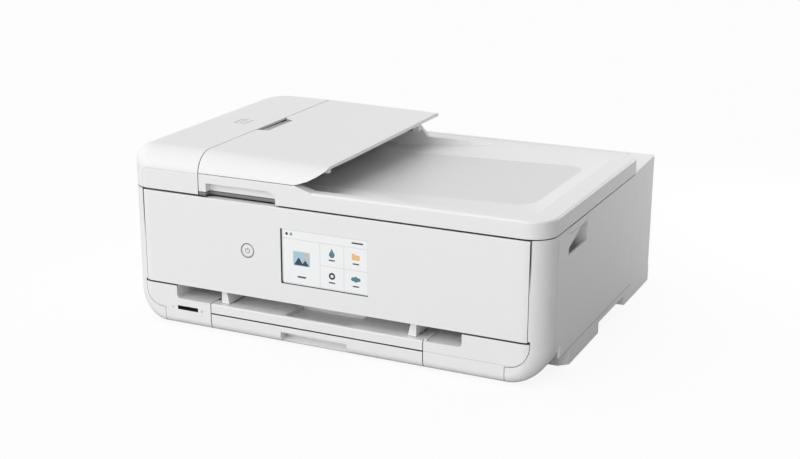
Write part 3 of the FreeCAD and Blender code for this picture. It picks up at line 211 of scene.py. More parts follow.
def plastic(name, tint, rough, cloud=0.03, grain=1800.0, depth=0.03 * mm, creviceShade=True, marks=()):
    material, tree, shader = newMaterial(name)
    skin = useSkin(tree, shader, mouldedSkin, {"Tint": (*tint, 1), "Cloud": cloud, "Grain Scale": grain,
                                               "Rough": rough})
    # painted shade: ambient occlusion darkens the colour in crevices and seams
    if creviceShade:
        crevice = addNode(tree, "ShaderNodeAmbientOcclusion", {"Distance": creviceShadeSet["reach"]},
                          samples=creviceShadeSet["samples"])
        wire(tree, crevice.outputs["AO"], skin.inputs["Openness"])
    color = skin.outputs["Color"]
    height = skin.outputs["Height"]
    for mask, markColor, sink in marks:  # a mask builder, its colour and how deep it is pressed in
        covered = mask(tree)
        color = mixColors(tree, covered, color, (*markColor, 1))
        if sink:
            height = mathNode(tree, "SUBTRACT", height, mathNode(tree, "MULTIPLY", covered, sink))
    wire(tree, color, shader.inputs["Base Color"])
    addBump(tree, shader, height, depth, bumpSet["plastic"])
    return material


def metal(name, tint, rough):
    material, tree, shader = newMaterial(name)
    skin = useSkin(tree, shader, drawnMetal, {"Tint": (*tint, 1), "Rough": rough})
    shader.inputs["Metallic"].default_value = 1.0
    addBump(tree, shader, skin.outputs["Height"], bumpSet["metalDepth"], bumpSet["metal"])
    return material


def dress(material, *names):
    for name in names:
        slots = cadNodes[name].data.materials
        slots.clear()
        slots.append(material)


# masks for small marks; places are in metres in the part's frame

def between(tree, value, low, high, soft):
    mask = fade(tree, mathNode(tree, "SUBTRACT", low, value), -soft, soft) if low is not None else None
    if high is not None:
        upper = fade(tree, mathNode(tree, "SUBTRACT", value, high), -soft, soft)
        mask = upper if mask is None else mathNode(tree, "MULTIPLY", mask, upper)
    return mask


def stroke(tree, off, width, soft):  # 1 on a line, by the distance off its middle
    return fade(tree, off, width * (0.5 - soft), width * (0.5 + soft))


def boxMask(spans, soft=0.08 * mm):  # spans hold an axis number, a low and a high end and maybe an edge
    def build(tree):
        place = placeOf(tree)
        mask = None
        for axis, low, high, *edge in spans:
            part = between(tree, place[axis], low, high, edge[0] if edge else soft)
            mask = part if mask is None else mathNode(tree, "MULTIPLY", mask, part)
        return mask
    return build


def reachOf(tree, x, z):  # distance from a point on the front face
    place = placeOf(tree)
    dx = mathNode(tree, "SUBTRACT", place[0], x)
    dz = mathNode(tree, "SUBTRACT", place[2], z)
    return dx, dz, lengthOf(tree, dx, dz)


def ringMask(x, z, radius, width):
    def build(tree):
        reach = reachOf(tree, x, z)[2]
        off = mathNode(tree, "ABSOLUTE", mathNode(tree, "SUBTRACT", reach, radius))
        return stroke(tree, off, width, 0.1)
    return build


def powerSignMask(x, z, radius, line):  # open ring with a bar in its gap
    def build(tree):
        dx, dz, reach = reachOf(tree, x, z)
        off = mathNode(tree, "ABSOLUTE", mathNode(tree, "SUBTRACT", reach, radius))
        aside = mathNode(tree, "ABSOLUTE", dx)
        gap = mathNode(tree, "MULTIPLY", fade(tree, aside, radius * 0.4, radius * 0.5),
                       between(tree, dz, 0.0, None, line * 0.3))
        arc = mathNode(tree, "MULTIPLY", stroke(tree, off, line, 0.15),
                       mathNode(tree, "SUBTRACT", 1.0, gap))
        bar = mathNode(tree, "MULTIPLY", stroke(tree, aside, line, 0.15),
                       between(tree, dz, radius * 0.15, radius * 1.3, line * 0.2))
        return mathNode(tree, "MAXIMUM", arc, bar)
    return build


def slotsMask(spans, axis, pitch, width):  # a row of vent slots inside a box
    area = boxMask(spans)

    def build(tree):
        way = mathNode(tree, "PINGPONG", placeOf(tree)[axis], pitch / 2)
        return mathNode(tree, "MULTIPLY", area(tree), stroke(tree, way, width, 0.05))
    return build


def planMask(low, high, radius, soft):  # a rounded rectangle seen from above
    def build(tree):
        place = placeOf(tree)
        outs = []
        for axis in (0, 1):
            middle, half = (low[axis] + high[axis]) / 2, (high[axis] - low[axis]) / 2
            off = mathNode(tree, "ABSOLUTE", mathNode(tree, "SUBTRACT", place[axis], middle))
            outs.append(mathNode(tree, "MAXIMUM", mathNode(tree, "SUBTRACT", off, half - radius), 0.0))
        return fade(tree, lengthOf(tree, *outs), radius - soft, radius + soft)
    return build


def roundedLineMask(left, top, radius, width, back):  # a line along the top that turns down at the left
    def build(tree):
        place = placeOf(tree)
        inX = mathNode(tree, "SUBTRACT", left + radius, place[0])
        inZ = mathNode(tree, "SUBTRACT", place[2], top - radius)
        outer = lengthOf(tree, mathNode(tree, "MAXIMUM", inX, 0.0), mathNode(tree, "MAXIMUM", inZ, 0.0))
        inner = mathNode(tree, "MINIMUM", mathNode(tree, "MAXIMUM", inX, inZ), 0.0)
        reach = mathNode(tree, "ADD", outer, inner)
        off = mathNode(tree, "ABSOLUTE", mathNode(tree, "SUBTRACT", reach, radius))
        return mathNode(tree, "MULTIPLY", stroke(tree, off, width, 0.2),
                        between(tree, place[1], None, back, 2 * mm))
    return build


# white casing finishes

def grey(level):
    return (level, level, level)


whiteTint = (0.86, 0.86, 0.862)
# painted shade, nearly black, for openings and deep gaps
gapShadeTone = (0.012, 0.012, 0.013)
# painted shade for the dark gaps at seams between parts
inkTone = (0.10, 0.105, 0.115)
seamShadeGrey = grey(0.09)
casingSet = {"cloud": 0.02, "rough": 0.42}


def casingWhite(name, marks=()):
    return plastic(name, whiteTint, marks=marks, **casingSet)


traySet = {"notchFront": 116 * mm, "notchLength": 66 * mm, "notchWidth": 13.8 * mm, "notchTop": 4.0 * mm,
           "notchLow": 7.0 * mm, "edge": 0.2 * mm, "tone": grey(0.40)}


def trayWhite():  # painted shade makes the floor of the finger notch darker
    low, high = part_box("document_tray")
    start = frontY + traySet["notchFront"]
    notch = [(0, None, low.x + traySet["notchWidth"]), (1, start, start + traySet["notchLength"]),
             (2, high.z - traySet["notchLow"], high.z - traySet["notchTop"])]
    return casingWhite("trayWhite", [(boxMask(notch, traySet["edge"]), traySet["tone"], 0)])


rearSet = {"ventLeft": 0.04, "ventRight": 0.15, "ventLow": 0.052, "ventHigh": 0.088, "pitch": 7 * mm,
           "slot": 2.2 * mm, "skin": 0.5 * mm, "sink": 4.0}


def rearWhite():  # a row of vent slots at the back, painted nearly black as the shade inside them and pressed in by a bump
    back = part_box("rear_cover")[1].y - rearSet["skin"]
    area = [(0, rearSet["ventLeft"], rearSet["ventRight"]), (1, back, None),
            (2, rearSet["ventLow"], rearSet["ventHigh"])]
    vents = slotsMask(area, 0, rearSet["pitch"], rearSet["slot"])
    return casingWhite("rearWhite", [(vents, gapShadeTone, rearSet["sink"])])


shellSet = {"edge": 0.2 * mm, "seam": 216.7 * mm, "seamDepth": 12 * mm, "seamLow": 0.108, "seamFade": 18 * mm,
            "creaseY": -0.1552, "creaseWidth": 0.55 * mm, "creaseSkin": 4 * mm, "creaseFoot": 24 * mm,
            "creaseHead": 3 * mm, "creaseShadeTone": grey(0.62), "creaseSink": 2.0,
            "footStart": -0.139, "footZ": 20.2 * mm, "footShadeTone": grey(0.42)}
# the grip tones are painted shade inside the side grip pocket, darker still at its floor
gripSet = {"edge": 0.3 * mm, "skin": 0.6 * mm, "front": -0.1255, "back": -0.0655, "low": 0.108,
           "high": 0.1465, "tone": grey(0.8), "floorZ": 0.116, "floorFade": 2 * mm, "pocketFloorShade": grey(0.72)}


def sideShellWhite(name, sign):  # painted shade in the panel seam, in the crease behind the column, below the foot line and in the side grip
    def face(low, high):  # a span of X on this side, from the middle outwards
        ends = [None if end is None else end * sign for end in (low, high)]
        return (0, *ends[::sign])

    low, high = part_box("right_side_shell")
    crease = shellSet["creaseY"]
    seamSpans = [face(None, shellSet["seam"]), (1, None, frontY + shellSet["seamDepth"]),
                 (2, shellSet["seamLow"], None, shellSet["seamFade"])]
    creaseSpans = [face(high.x - shellSet["creaseSkin"], None), (1, crease - shellSet["creaseWidth"], crease),
                   (2, low.z + shellSet["creaseFoot"], high.z - shellSet["creaseHead"])]
    footSpans = [(1, shellSet["footStart"], None), (2, None, shellSet["footZ"])]
    grip = [face(None, high.x - gripSet["skin"]), (1, gripSet["front"], gripSet["back"]),
            (2, gripSet["low"], gripSet["high"])]
    gripFloor = grip + [(2, None, gripSet["floorZ"], gripSet["floorFade"])]
    return casingWhite(name, [
        (boxMask(seamSpans, shellSet["edge"]), seamShadeGrey, 0),
        (boxMask(creaseSpans, shellSet["edge"]), shellSet["creaseShadeTone"], shellSet["creaseSink"]),
        (boxMask(footSpans, shellSet["edge"]), shellSet["footShadeTone"], 0),
        (boxMask(grip, gripSet["edge"]), gripSet["tone"], 0),
        (boxMask(gripFloor, gripSet["edge"]), gripSet["pocketFloorShade"], 0)])


buttonLow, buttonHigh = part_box("power_button")
buttonPlace = ((buttonLow.x + buttonHigh.x) / 2, (buttonLow.z + buttonHigh.z) / 2)
buttonSet = {"ringRadius": 7.5 * mm, "ringWidth": 0.9 * mm, "ringTone": (0.16, 0.165, 0.17),
             "signRadius": 2.5 * mm, "signLine": 0.65 * mm}


def panelWhite():  # a printed ring round the power button
    ring = ringMask(*buttonPlace, buttonSet["ringRadius"], buttonSet["ringWidth"])
    return casingWhite("panelWhite", [(ring, buttonSet["ringTone"], 0)])


def buttonWhite():
    sign = powerSignMask(*buttonPlace, buttonSet["signRadius"], buttonSet["signLine"])
    return casingWhite("buttonWhite", [(sign, inkTone, 0)])


coverSet = {"creaseLeft": 18.5 * mm, "creaseTop": 21.5 * mm, "creaseRound": 7 * mm, "creaseWidth": 0.9 * mm,
            "creaseDepth": 12 * mm, "creaseShadeTone": (0.72, 0.72, 0.725), "creaseSink": 3.0}
signSet = {"x": -0.187, "y": -0.047, "wide": 15 * mm, "deep": 19 * mm, "line": 1.0 * mm, "skin": 20 * mm,
           "farEdge": 0.6, "rowEnds": (0.25, 0.75), "rows": (0.35, 0.62), "tone": (0.08, 0.08, 0.085)}


def sheetSign(top):  # a sheet with an open corner and two rows, in thin strokes on the cover's top
    x, y, wide, deep, line = (signSet[key] for key in ("x", "y", "wide", "deep", "line"))
    strokes = [((x, x + wide), (y, y + line)), ((x, x + line), (y, y + deep)),
               ((x + wide - line, x + wide), (y, y + deep)),
               ((x, x + wide * signSet["farEdge"]), (y + deep - line, y + deep))]
    start, end = (x + wide * share for share in signSet["rowEnds"])
    for share in signSet["rows"]:
        strokes.append(((start, end), (y + deep * share, y + deep * share + line)))
    above = (2, top - signSet["skin"], None)
    return [(boxMask([(0, *across), (1, *along), above]), signSet["tone"], 0) for across, along in strokes]


def coverWhite():
    low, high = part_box("feeder_cover")
    # the crease is painted shade in a groove, pressed in by a bump
    back = frontY + coverSet["creaseDepth"]
    crease = roundedLineMask(low.x + coverSet["creaseLeft"], low.z + coverSet["creaseTop"],
                             coverSet["creaseRound"], coverSet["creaseWidth"], back)
    return casingWhite("coverWhite", sheetSign(high.z) + [
        (crease, coverSet["creaseShadeTone"], coverSet["creaseSink"])])


lidSet = {"dishLow": (-0.15, -0.114), "dishHigh": (0.191, 0.059), "dishRound": 20 * mm, "dishEdge": 1.5 * mm,
          "dishShadeTone": (0.75, 0.75, 0.752), "gapLeft": -0.1465, "gapRight": -0.0555, "gapDepth": 14 * mm,
          "gapTop": 3.6 * mm, "gapShadeTone": (0.17, 0.17, 0.168), "gapLine": 0.5 * mm,
          "lip": (1.9 * mm, 1.4 * mm), "lipShadeTone": grey(0.30)}


def lidWhite():  # painted shade on the dish floor and in the finger gap under the front grip
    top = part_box("lid_shell")[0].z + lidSet["gapTop"]
    lipLow, lipHigh = (top - drop for drop in lidSet["lip"])
    gap = [(0, lidSet["gapLeft"], lidSet["gapRight"]), (1, None, frontY + lidSet["gapDepth"])]
    dish = planMask(lidSet["dishLow"], lidSet["dishHigh"], lidSet["dishRound"], lidSet["dishEdge"])
    return casingWhite("lidWhite", [
        (dish, lidSet["dishShadeTone"], 0),
        (boxMask(gap + [(2, None, top)]), lidSet["gapShadeTone"], 0),
        (boxMask(gap + [(2, lipLow, lipHigh)]), lidSet["lipShadeTone"], 0),
        (boxMask(gap + [(2, top, top + lidSet["gapLine"])]), gapShadeTone, 0)])


rightLow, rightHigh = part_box("front_right_block")
blockSet = {"depth": 20 * mm, "shadow": 1.2 * mm, "shadowTone": grey(0.05), "seam": 0.55 * mm,
            "lineZ": 20.4 * mm, "lineHalf": 0.35 * mm, "lineShadeTone": grey(0.66), "lineSink": 2.0,
            "mark": (-0.1476, 0.0203), "markRadius": 1.0 * mm, "markWidth": 0.9 * mm, "markTone": grey(0.55)}
blockFront = (1, None, frontY + blockSet["depth"])
blockShadow = (boxMask([blockFront, (2, rightHigh.z - blockSet["shadow"], None)]), blockSet["shadowTone"], 0)


def rightBlockWhite():
    # painted shade in the line across the front and in the seam at its left edge; blockShadow is painted
    # shadow under the panel
    lineSpan = (2, blockSet["lineZ"] - blockSet["lineHalf"], blockSet["lineZ"] + blockSet["lineHalf"])
    seamSpan = (0, None, rightLow.x + blockSet["seam"])
    return casingWhite("rightBlockWhite", [
        blockShadow,
        (boxMask([blockFront, lineSpan]), blockSet["lineShadeTone"], blockSet["lineSink"]),
        (boxMask([blockFront, seamSpan]), seamShadeGrey, 0)])


def leftBlockWhite():  # with a small printed ring beside the card slot, painted shadow under the panel and painted shade in the seam at its right edge
    seamSpan = (0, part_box("front_left_block")[1].x - blockSet["seam"], None)
    ring = ringMask(*blockSet["mark"], blockSet["markRadius"], blockSet["markWidth"])
    return casingWhite("leftBlockWhite", [
        blockShadow,
        (boxMask([blockFront, seamSpan]), seamShadeGrey, 0),
        (ring, blockSet["markTone"], 0)])


cassetteSet = {"seamDepth": 0.8 * mm, "seam": 0.9 * mm, "tone": grey(0.03)}


def cassetteWhite():  # painted shadow: a dark line along the top of the front, in the gap above it
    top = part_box("cassette")[1].z
    line = boxMask([(1, None, frontY + cassetteSet["seamDepth"]), (2, top - cassetteSet["seam"], None)])
    return casingWhite("cassetteWhite", [(line, cassetteSet["tone"], 0)])


dress(casingWhite("casingWhite"), "base_tray", "output_tray", "output_frame", "rear_tray_cover",
      "scanner_frame")
dress(trayWhite(), "document_tray")
dress(rearWhite(), "rear_cover")
dress(sideShellWhite("rightShellWhite", 1), "right_side_shell")
dress(sideShellWhite("leftShellWhite", -1), "left_side_shell")
dress(panelWhite(), "operation_panel")
dress(buttonWhite(), "power_button")
dress(coverWhite(), "feeder_cover")
dress(lidWhite(), "lid_shell")
dress(rightBlockWhite(), "front_right_block")
dress(leftBlockWhite(), "front_left_block")
dress(cassetteWhite(), "cassette")


# finishes inside the casing

glassSet = {"Tint": (0.80, 0.88, 0.87, 1), "Cloud": 0.04, "Grain Scale": 300.0, "Rough": 0.06,
            "Rough Spread": 0.05}


def scanGlass():
    material, tree, shader = newMaterial("scanGlass")
    useSkin(tree, shader, mouldedSkin, glassSet)
    shader.inputs["Transmission Weight"].default_value = 0.9
    shader.inputs["IOR"].default_value = 1.5
    return material


boardSet = {"lacquer": (0.012, 0.10, 0.045, 1), "lacquerDark": (0.010, 0.085, 0.04, 1),
            "track": (0.05, 0.20, 0.09, 1), "chip": (0.02, 0.02, 0.022, 1), "scale": 120.0,
            "trackWidth": 0.03, "thick": 1.7 * mm, "edge": 0.05 * mm, "rough": 0.35, "trackRough": 0.2}


def circuitBoard():  # green lacquer over tracks, with black chips standing on it
    material, tree, shader = newMaterial("circuitBoard")
    coords = addNode(tree, "ShaderNodeTexCoord")
    tracks = addNode(tree, "ShaderNodeTexBrick", {
        "Color1": boardSet["lacquer"], "Color2": boardSet["lacquerDark"], "Mortar": boardSet["track"],
        "Scale": boardSet["scale"], "Mortar Size": boardSet["trackWidth"]})
    wire(tree, coords.outputs["Object"], tracks.inputs["Vector"])
    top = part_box("main_board")[0].z + boardSet["thick"]
    bare = fade(tree, placeOf(tree)[2], top - boardSet["edge"], top + boardSet["edge"])
    color = mixColors(tree, bare, boardSet["chip"], tracks.outputs["Color"])
    rough = mathNode(tree, "MULTIPLY_ADD", tracks.outputs["Fac"], boardSet["trackRough"], boardSet["rough"])
    wire(tree, color, shader.inputs["Base Color"])
    wire(tree, rough, shader.inputs["Roughness"])
    return material


padSet = {"pore": 0.12, "base": 0.92, "rough": 0.9, "bump": 0.5}


def softPad(name, tint, scale, depth):  # sheet foam and felt
    material, tree, shader = newMaterial(name)
    coords = addNode(tree, "ShaderNodeTexCoord")
    pores = addNode(tree, "ShaderNodeTexVoronoi", {"Scale": scale})
    wire(tree, coords.outputs["Object"], pores.inputs["Vector"])
    share = mathNode(tree, "MULTIPLY_ADD", pores.outputs["Distance"], padSet["pore"], padSet["base"])
    plain = addNode(tree, "ShaderNodeRGB")
    plain.outputs[0].default_value = (*tint, 1)
    wire(tree, scaleColor(tree, plain.outputs[0], share), shader.inputs["Base Color"])
    shader.inputs["Roughness"].default_value = padSet["rough"]
    addBump(tree, shader, pores.outputs["Distance"], depth, padSet["bump"])
    return material


tankSet = {"tones": [(0.02, 0.02, 0.022), (0.75, 0.55, 0.02), (0.55, 0.02, 0.16), (0.0, 0.22, 0.55),
                     (0.05, 0.05, 0.055)],
           "patch": (0.15, 0.85), "skin": 0.6 * mm, "case": (0.03, 0.03, 0.033), "rough": 0.3}


def inkTanks():  # five tanks side by side, each with a plain colour patch on its lid
    low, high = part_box("ink_tanks")
    pitch = (high.x - low.x) / len(tankSet["tones"])
    marks = []
    for index, tone in enumerate(tankSet["tones"]):
        ends = (low.x + pitch * (index + share) for share in tankSet["patch"])
        marks.append((boxMask([(0, *ends), (2, high.z - tankSet["skin"], None)]), tone, 0))
    return plastic("inkTanks", tankSet["case"], rough=tankSet["rough"], creviceShade=False, marks=marks)


dress(plastic("innerGrey", (0.55, 0.56, 0.57), rough=0.5), "left_cassette_guide", "right_cassette_guide",
      "end_cassette_guide", "left_rear_guide", "right_rear_guide", "front_document_guide",
      "rear_document_guide", "rear_chute")
# the feeder frame is painted near black as the shade under the document tray
dress(plastic("feederShadeDark", (0.10, 0.10, 0.095), rough=0.55), "feeder_frame")
dress(plastic("mechanismBlack", (0.022, 0.022, 0.024), cloud=0.2, rough=0.5, creviceShade=False), "card_slot",
      "power_inlet", "usb_socket", "print_carriage", "platen", "maintenance_unit", "scan_carriage",
      "power_supply", "idler_gear", "motor_pinion", "motor_pulley", "idler_pulley")
dress(metal("sheetSteel", (0.55, 0.56, 0.57), 0.28), "chassis_frame", "carriage_shaft", "scan_rail",
      "scanner_hinge_pins", "lid_hinge_pins", "case_screws", "line_feed_roller", "eject_roller", "feed_motor",
      "carriage_motor")
dress(plastic("softRubber", (0.035, 0.035, 0.036), cloud=0.25, grain=900.0, rough=0.75, depth=0.06 * mm,
              creviceShade=False), "rubber_feet", "drive_belt", "feeder_pickup_roller", "feeder_drive_roller")
dress(scanGlass(), "platen_glass", "feeder_glass")
dress(circuitBoard(), "main_board")
dress(softPad("lidFoam", (0.82, 0.82, 0.82), 900.0, 0.1 * mm), "lid_pad")
dress(softPad("inkFelt", (0.55, 0.55, 0.53), 1400.0, 0.3 * mm), "ink_absorber")
dress(inkTanks(), "ink_tanks")
dress(plastic("stripFilm", (0.5, 0.52, 0.55), rough=0.2, creviceShade=False), "encoder_strip")
dress(plastic("lampClear", (0.72, 0.74, 0.75), rough=0.2, creviceShade=False), "access_lamp")
print("finishes made")


# touch screen: a lit sheet with thin printed tiles on it

sheetSet = {"Cloud": 0.03, "Grain Scale": 2600.0, "Rough": 0.18, "Rough Spread": 0.05}


def litSheet(name, tint, glow):
    material, tree, shader = newMaterial(name)
    skin = useSkin(tree, shader, mouldedSkin, {"Tint": (*tint, 1), **sheetSet})
    wire(tree, skin.outputs["Color"], shader.inputs["Emission Color"])
    shader.inputs["Emission Strength"].default_value = glow
    return material


def startPiece(add, **settings):  # a new primitive, alone and active
    if bpy.context.object and bpy.context.object.mode != "OBJECT":
        bpy.ops.object.mode_set(mode="OBJECT")
    bpy.ops.object.select_all(action="DESELECT")
    add(**settings)
    return bpy.context.object


screenLow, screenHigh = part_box("touch_screen")
screenSet = {"layer": 0.012 * mm, "bezel": 1.9 * mm, "bezelLow": 1.0 * mm, "sheetCorner": 2.4 * mm,
             "margin": 3.4 * mm, "rightMargin": 0.4 * mm, "topMargin": 0.6 * mm, "lowMargin": 2.2 * mm,
             "strip": 9.0 * mm, "split": 0.42, "gap": 0.7 * mm, "corner": 0.5 * mm, "cornerSteps": 5,
             "discSides": 28, "peakRound": 0.06, "peakSteps": 3}
layerSteps = {"sheet": 1, "card": 2, "icon": 3, "spot": 4, "top": 5}  # thin layers, from the glass outwards


def layerY(layer):
    return screenLow.y - screenSet["layer"] * layerSteps[layer]


def applyPlace():
    bpy.ops.object.transform_apply(location=True, rotation=True, scale=True)


def thicken(piece):  # gives a flat face on the front the thickness of a layer
    applyPlace()
    bpy.ops.object.mode_set(mode="EDIT")
    bpy.ops.mesh.select_all(action="SELECT")
    bpy.ops.mesh.extrude_region_move(TRANSFORM_OT_translate={"value": (0, screenSet["layer"], 0)})
    bpy.ops.mesh.select_all(action="SELECT")
    bpy.ops.mesh.normals_make_consistent(inside=False)
    bpy.ops.object.mode_set(mode="OBJECT")
    return piece


def roundCorners(piece, corner, steps, only=None):  # every corner, or the single one at a place
    bpy.ops.object.mode_set(mode="EDIT")
    bpy.ops.mesh.select_mode(type="VERT")
    bpy.ops.mesh.select_all(action="DESELECT" if only else "SELECT")
    if only:
        bpy.ops.object.mode_set(mode="OBJECT")
        for vertex in piece.data.vertices:
            vertex.select = abs(vertex.co.x - only[0]) < 0.01 * mm and abs(vertex.co.z - only[1]) < 0.01 * mm
        bpy.ops.object.mode_set(mode="EDIT")
    bpy.ops.mesh.bevel(offset=corner, affect="VERTICES", segments=steps)
    bpy.ops.object.mode_set(mode="OBJECT")


def roundedTile(left, right, low, high, corner, layer, only=None):
    tile = startPiece(bpy.ops.mesh.primitive_plane_add, size=1, rotation=(math.pi / 2, 0, 0),
                      location=((left + right) / 2, layerY(layer), (low + high) / 2))
    tile.scale = (right - left, high - low, 1)
    applyPlace()
    roundCorners(tile, corner, screenSet["cornerSteps"], only)
    return thicken(tile)


def tileAt(place, size, layer):  # size holds left, right, low, high and corner in mm from a place
    left, right, low, high, corner = (value * mm for value in size)
    return roundedTile(place[0] + left, place[0] + right, place[1] + low, place[1] + high, corner, layer)


def discAt(place, size, layer):  # size holds X, Z, radius and maybe the radius of a hole in mm
    x, z, radius, *hole = (value * mm for value in size)
    disc = startPiece(bpy.ops.mesh.primitive_circle_add, vertices=screenSet["discSides"], radius=radius,
                      fill_type="NGON", rotation=(math.pi / 2, 0, 0),
                      location=(place[0] + x, layerY(layer), place[1] + z))
    if hole:
        bpy.ops.object.mode_set(mode="EDIT")
        bpy.ops.mesh.select_all(action="SELECT")
        bpy.ops.mesh.inset(thickness=radius - hole[0])
        bpy.ops.mesh.delete(type="FACE")
        bpy.ops.object.mode_set(mode="OBJECT")
    return thicken(disc)


def peakAt(place, size, layer):  # a hill from a three-sided face; size holds X, Z, width and height in mm
    x, z, width, height = (value * mm for value in size)
    peak = startPiece(bpy.ops.mesh.primitive_circle_add, vertices=3, radius=1, fill_type="NGON",
                      rotation=(math.pi / 2, 0, 0), location=(place[0] + x, layerY(layer), place[1] + z))
    peak.scale = (width / math.sqrt(3), height / 1.5, 1)
    applyPlace()
    roundCorners(peak, width * screenSet["peakRound"], screenSet["peakSteps"])
    return thicken(peak)


def joinPieces(name, pieces, material):
    bpy.ops.object.select_all(action="DESELECT")
    for piece in pieces:
        piece.select_set(True)
    bpy.context.view_layer.objects.active = pieces[0]
    if len(pieces) > 1:
        bpy.ops.object.join()
    whole = bpy.context.object
    whole.name = name
    whole.data.name = name
    whole.data.materials.clear()
    whole.data.materials.append(material)
    return whole


motifSet = {  # sizes in mm from the middle of a card, its low edge or the status strip
    "picture": (-9.5, 9.5, -4, 11, 1.2), "sun": (5, 7.4, 2.0),
    "hills": ((-3.2, -0.6, 11, 8.5), (4.2, -1.4, 9, 6)),
    "drop": (0, 1, 3.2), "dropTip": (0, 4.2, 4.8, 5),
    "cloud": ((-3.2, 2.4, 2.1), (0, 2.4, 3.0), (3.3, 2.4, 1.9)),
    "ring": (0, 2, 3.6, 1.7), "dots": ((4, 0, 1.5), (9, 0, 1.5, 0.7)),
    "folder": (-4.4, 4.4, -1.2, 4.4, 0.8), "folderTab": (-4.4, -0.8, 3.6, 5.6, 0.6),
    "pictureLabel": (-5, 5, 6.4, 8.2, 0.8), "stripLabel": (-18, -5, -0.8, 0.8, 0.7),
    "cardLabel": (-3.6, 3.6, -5.6, -4.2, 0.6)}
toneSet = {  # colour and glow
    "screen_sheet": ((0.66, 0.68, 0.69), 0.12), "screen_cards": ((0.83, 0.84, 0.845), 0.12),
    "screen_picture": ((0.40, 0.56, 0.64), 0.1), "screen_hills": ((0.045, 0.07, 0.10), 0.03),
    "screen_sun": ((0.82, 0.46, 0.18), 0.1), "screen_blues": ((0.10, 0.22, 0.30), 0.06),
    "screen_navies": ((0.03, 0.045, 0.07), 0.02), "screen_oranges": ((0.82, 0.50, 0.22), 0.1),
    "screen_labels": ((0.07, 0.075, 0.085), 0.02)}


def makeScreen():
    left, right = screenLow.x + screenSet["margin"], screenHigh.x - screenSet["rightMargin"]
    low, high = screenLow.z + screenSet["lowMargin"], screenHigh.z - screenSet["topMargin"]
    gap, corner = screenSet["gap"], screenSet["corner"]
    sheetCorner = (screenLow.x + screenSet["bezel"], screenLow.z + screenSet["bezelLow"])
    stripLow = screenHigh.z - screenSet["strip"]
    stripMid = (stripLow + screenHigh.z) / 2
    cardHigh = stripLow - gap
    split = left + (screenHigh.x - screenLow.x) * screenSet["split"]
    columnMid = (split + gap + screenHigh.x) / 2
    rowMid = (low + cardHigh) / 2
    wide = ((left + split) / 2, rowMid)

    sheet = [roundedTile(sheetCorner[0], screenHigh.x, sheetCorner[1], screenHigh.z, screenSet["sheetCorner"],
                         "sheet", only=sheetCorner)]
    cards = [roundedTile(left, split, low, cardHigh, corner, "card")]
    centres = []
    for x0, x1 in ((split + gap, columnMid - gap / 2), (columnMid + gap / 2, right)):
        for z0, z1 in ((low, rowMid - gap / 2), (rowMid + gap / 2, cardHigh)):
            cards.append(roundedTile(x0, x1, z0, z1, corner, "card"))
            centres.append(((x0 + x1) / 2, (z0 + z1) / 2))
    cards.append(roundedTile(left, right, stripLow, high, corner, "card"))
    ringCard, dropCard, cloudCard, folderCard = centres

    groups = {"screen_sheet": sheet, "screen_cards": cards}
    groups["screen_picture"] = [tileAt(wide, motifSet["picture"], "icon")]
    hillLayers = zip(motifSet["hills"], ("spot", "top"))
    groups["screen_hills"] = [peakAt(wide, size, layer) for size, layer in hillLayers]
    groups["screen_sun"] = [discAt(wide, motifSet["sun"], "spot")]
    groups["screen_blues"] = [discAt(dropCard, motifSet["drop"], "icon"),
                              peakAt(dropCard, motifSet["dropTip"], "spot")]
    for size, layer in zip(motifSet["cloud"], ("icon", "spot", "top")):
        groups["screen_blues"].append(discAt(cloudCard, size, layer))
    groups["screen_navies"] = [discAt(ringCard, motifSet["ring"], "icon")]
    for size in motifSet["dots"]:
        groups["screen_navies"].append(discAt((left, stripMid), size, "icon"))
    groups["screen_oranges"] = [tileAt(folderCard, motifSet["folder"], "icon"),
                                tileAt(folderCard, motifSet["folderTab"], "spot")]
    groups["screen_labels"] = [tileAt((wide[0], low), motifSet["pictureLabel"], "icon"),
                               tileAt((screenHigh.x, stripMid), motifSet["stripLabel"], "icon")]
    for centre in centres:
        groups["screen_labels"].append(tileAt(centre, motifSet["cardLabel"], "icon"))

    dress(litSheet("screenGlass", (0.02, 0.02, 0.022), 0.0), "touch_screen")
    for name, pieces in groups.items():
        whole = joinPieces(name, pieces, litSheet(name + "_tone", *toneSet[name]))
        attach(whole, "panel")


makeScreen()
print("screen made")


# small mouldings

railSet = {"width": 2.4 * mm, "height": 1.8 * mm, "front": 0.8 * mm, "back": 27 * mm, "offset": 1.2 * mm,
           "edge": 0.5 * mm, "edgeSteps": 3, "smooth": 40}


def makeTrayRail():  # the short rail on the right of the paper outlet, with softened edges
    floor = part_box("output_tray")[1].z
    start = rightLow.x + railSet["offset"]
    low = Vector((start, frontY + railSet["front"], floor))
    high = Vector((start + railSet["width"], frontY + railSet["back"], floor + railSet["height"]))
    rail = startPiece(bpy.ops.mesh.primitive_cube_add, size=1, location=(low + high) / 2)
    rail.scale = high - low
    applyPlace()
    bpy.ops.object.mode_set(mode="EDIT")
    bpy.ops.mesh.select_all(action="SELECT")
    bpy.ops.mesh.bevel(offset=railSet["edge"], segments=railSet["edgeSteps"], affect="EDGES")
    bpy.ops.mesh.normals_make_consistent(inside=False)
    bpy.ops.object.mode_set(mode="OBJECT")
    bpy.ops.object.shade_smooth_by_angle(angle=math.radians(railSet["smooth"]))
    rail.name = "tray_rail"
    rail.data.name = "tray_rail"
    rail.data.materials.append(casingWhite("railWhite"))
    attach(rail, "casing")


makeTrayRail()
print("small mouldings made")


# stage, light and camera

stageSet = {"floorSize": 12.0, "floorBounce": (0.5, 0.5, 0.5, 1), "floorShadow": (0.92, 0.92, 0.92, 1),
            "floorRough": 0.9, "floorSeen": 0.9, "skyLeft": 0.91, "skyLeftEdge": (0.1, 0.75),
            "skyFront": 0.88, "skyFrontEdge": (0.2, 0.9)}


def seenDirectly(tree):  # camera rays and views through glass
    path = addNode(tree, "ShaderNodeLightPath")
    return mathNode(tree, "MAXIMUM", path.outputs["Is Camera Ray"], path.outputs["Is Transmission Ray"])


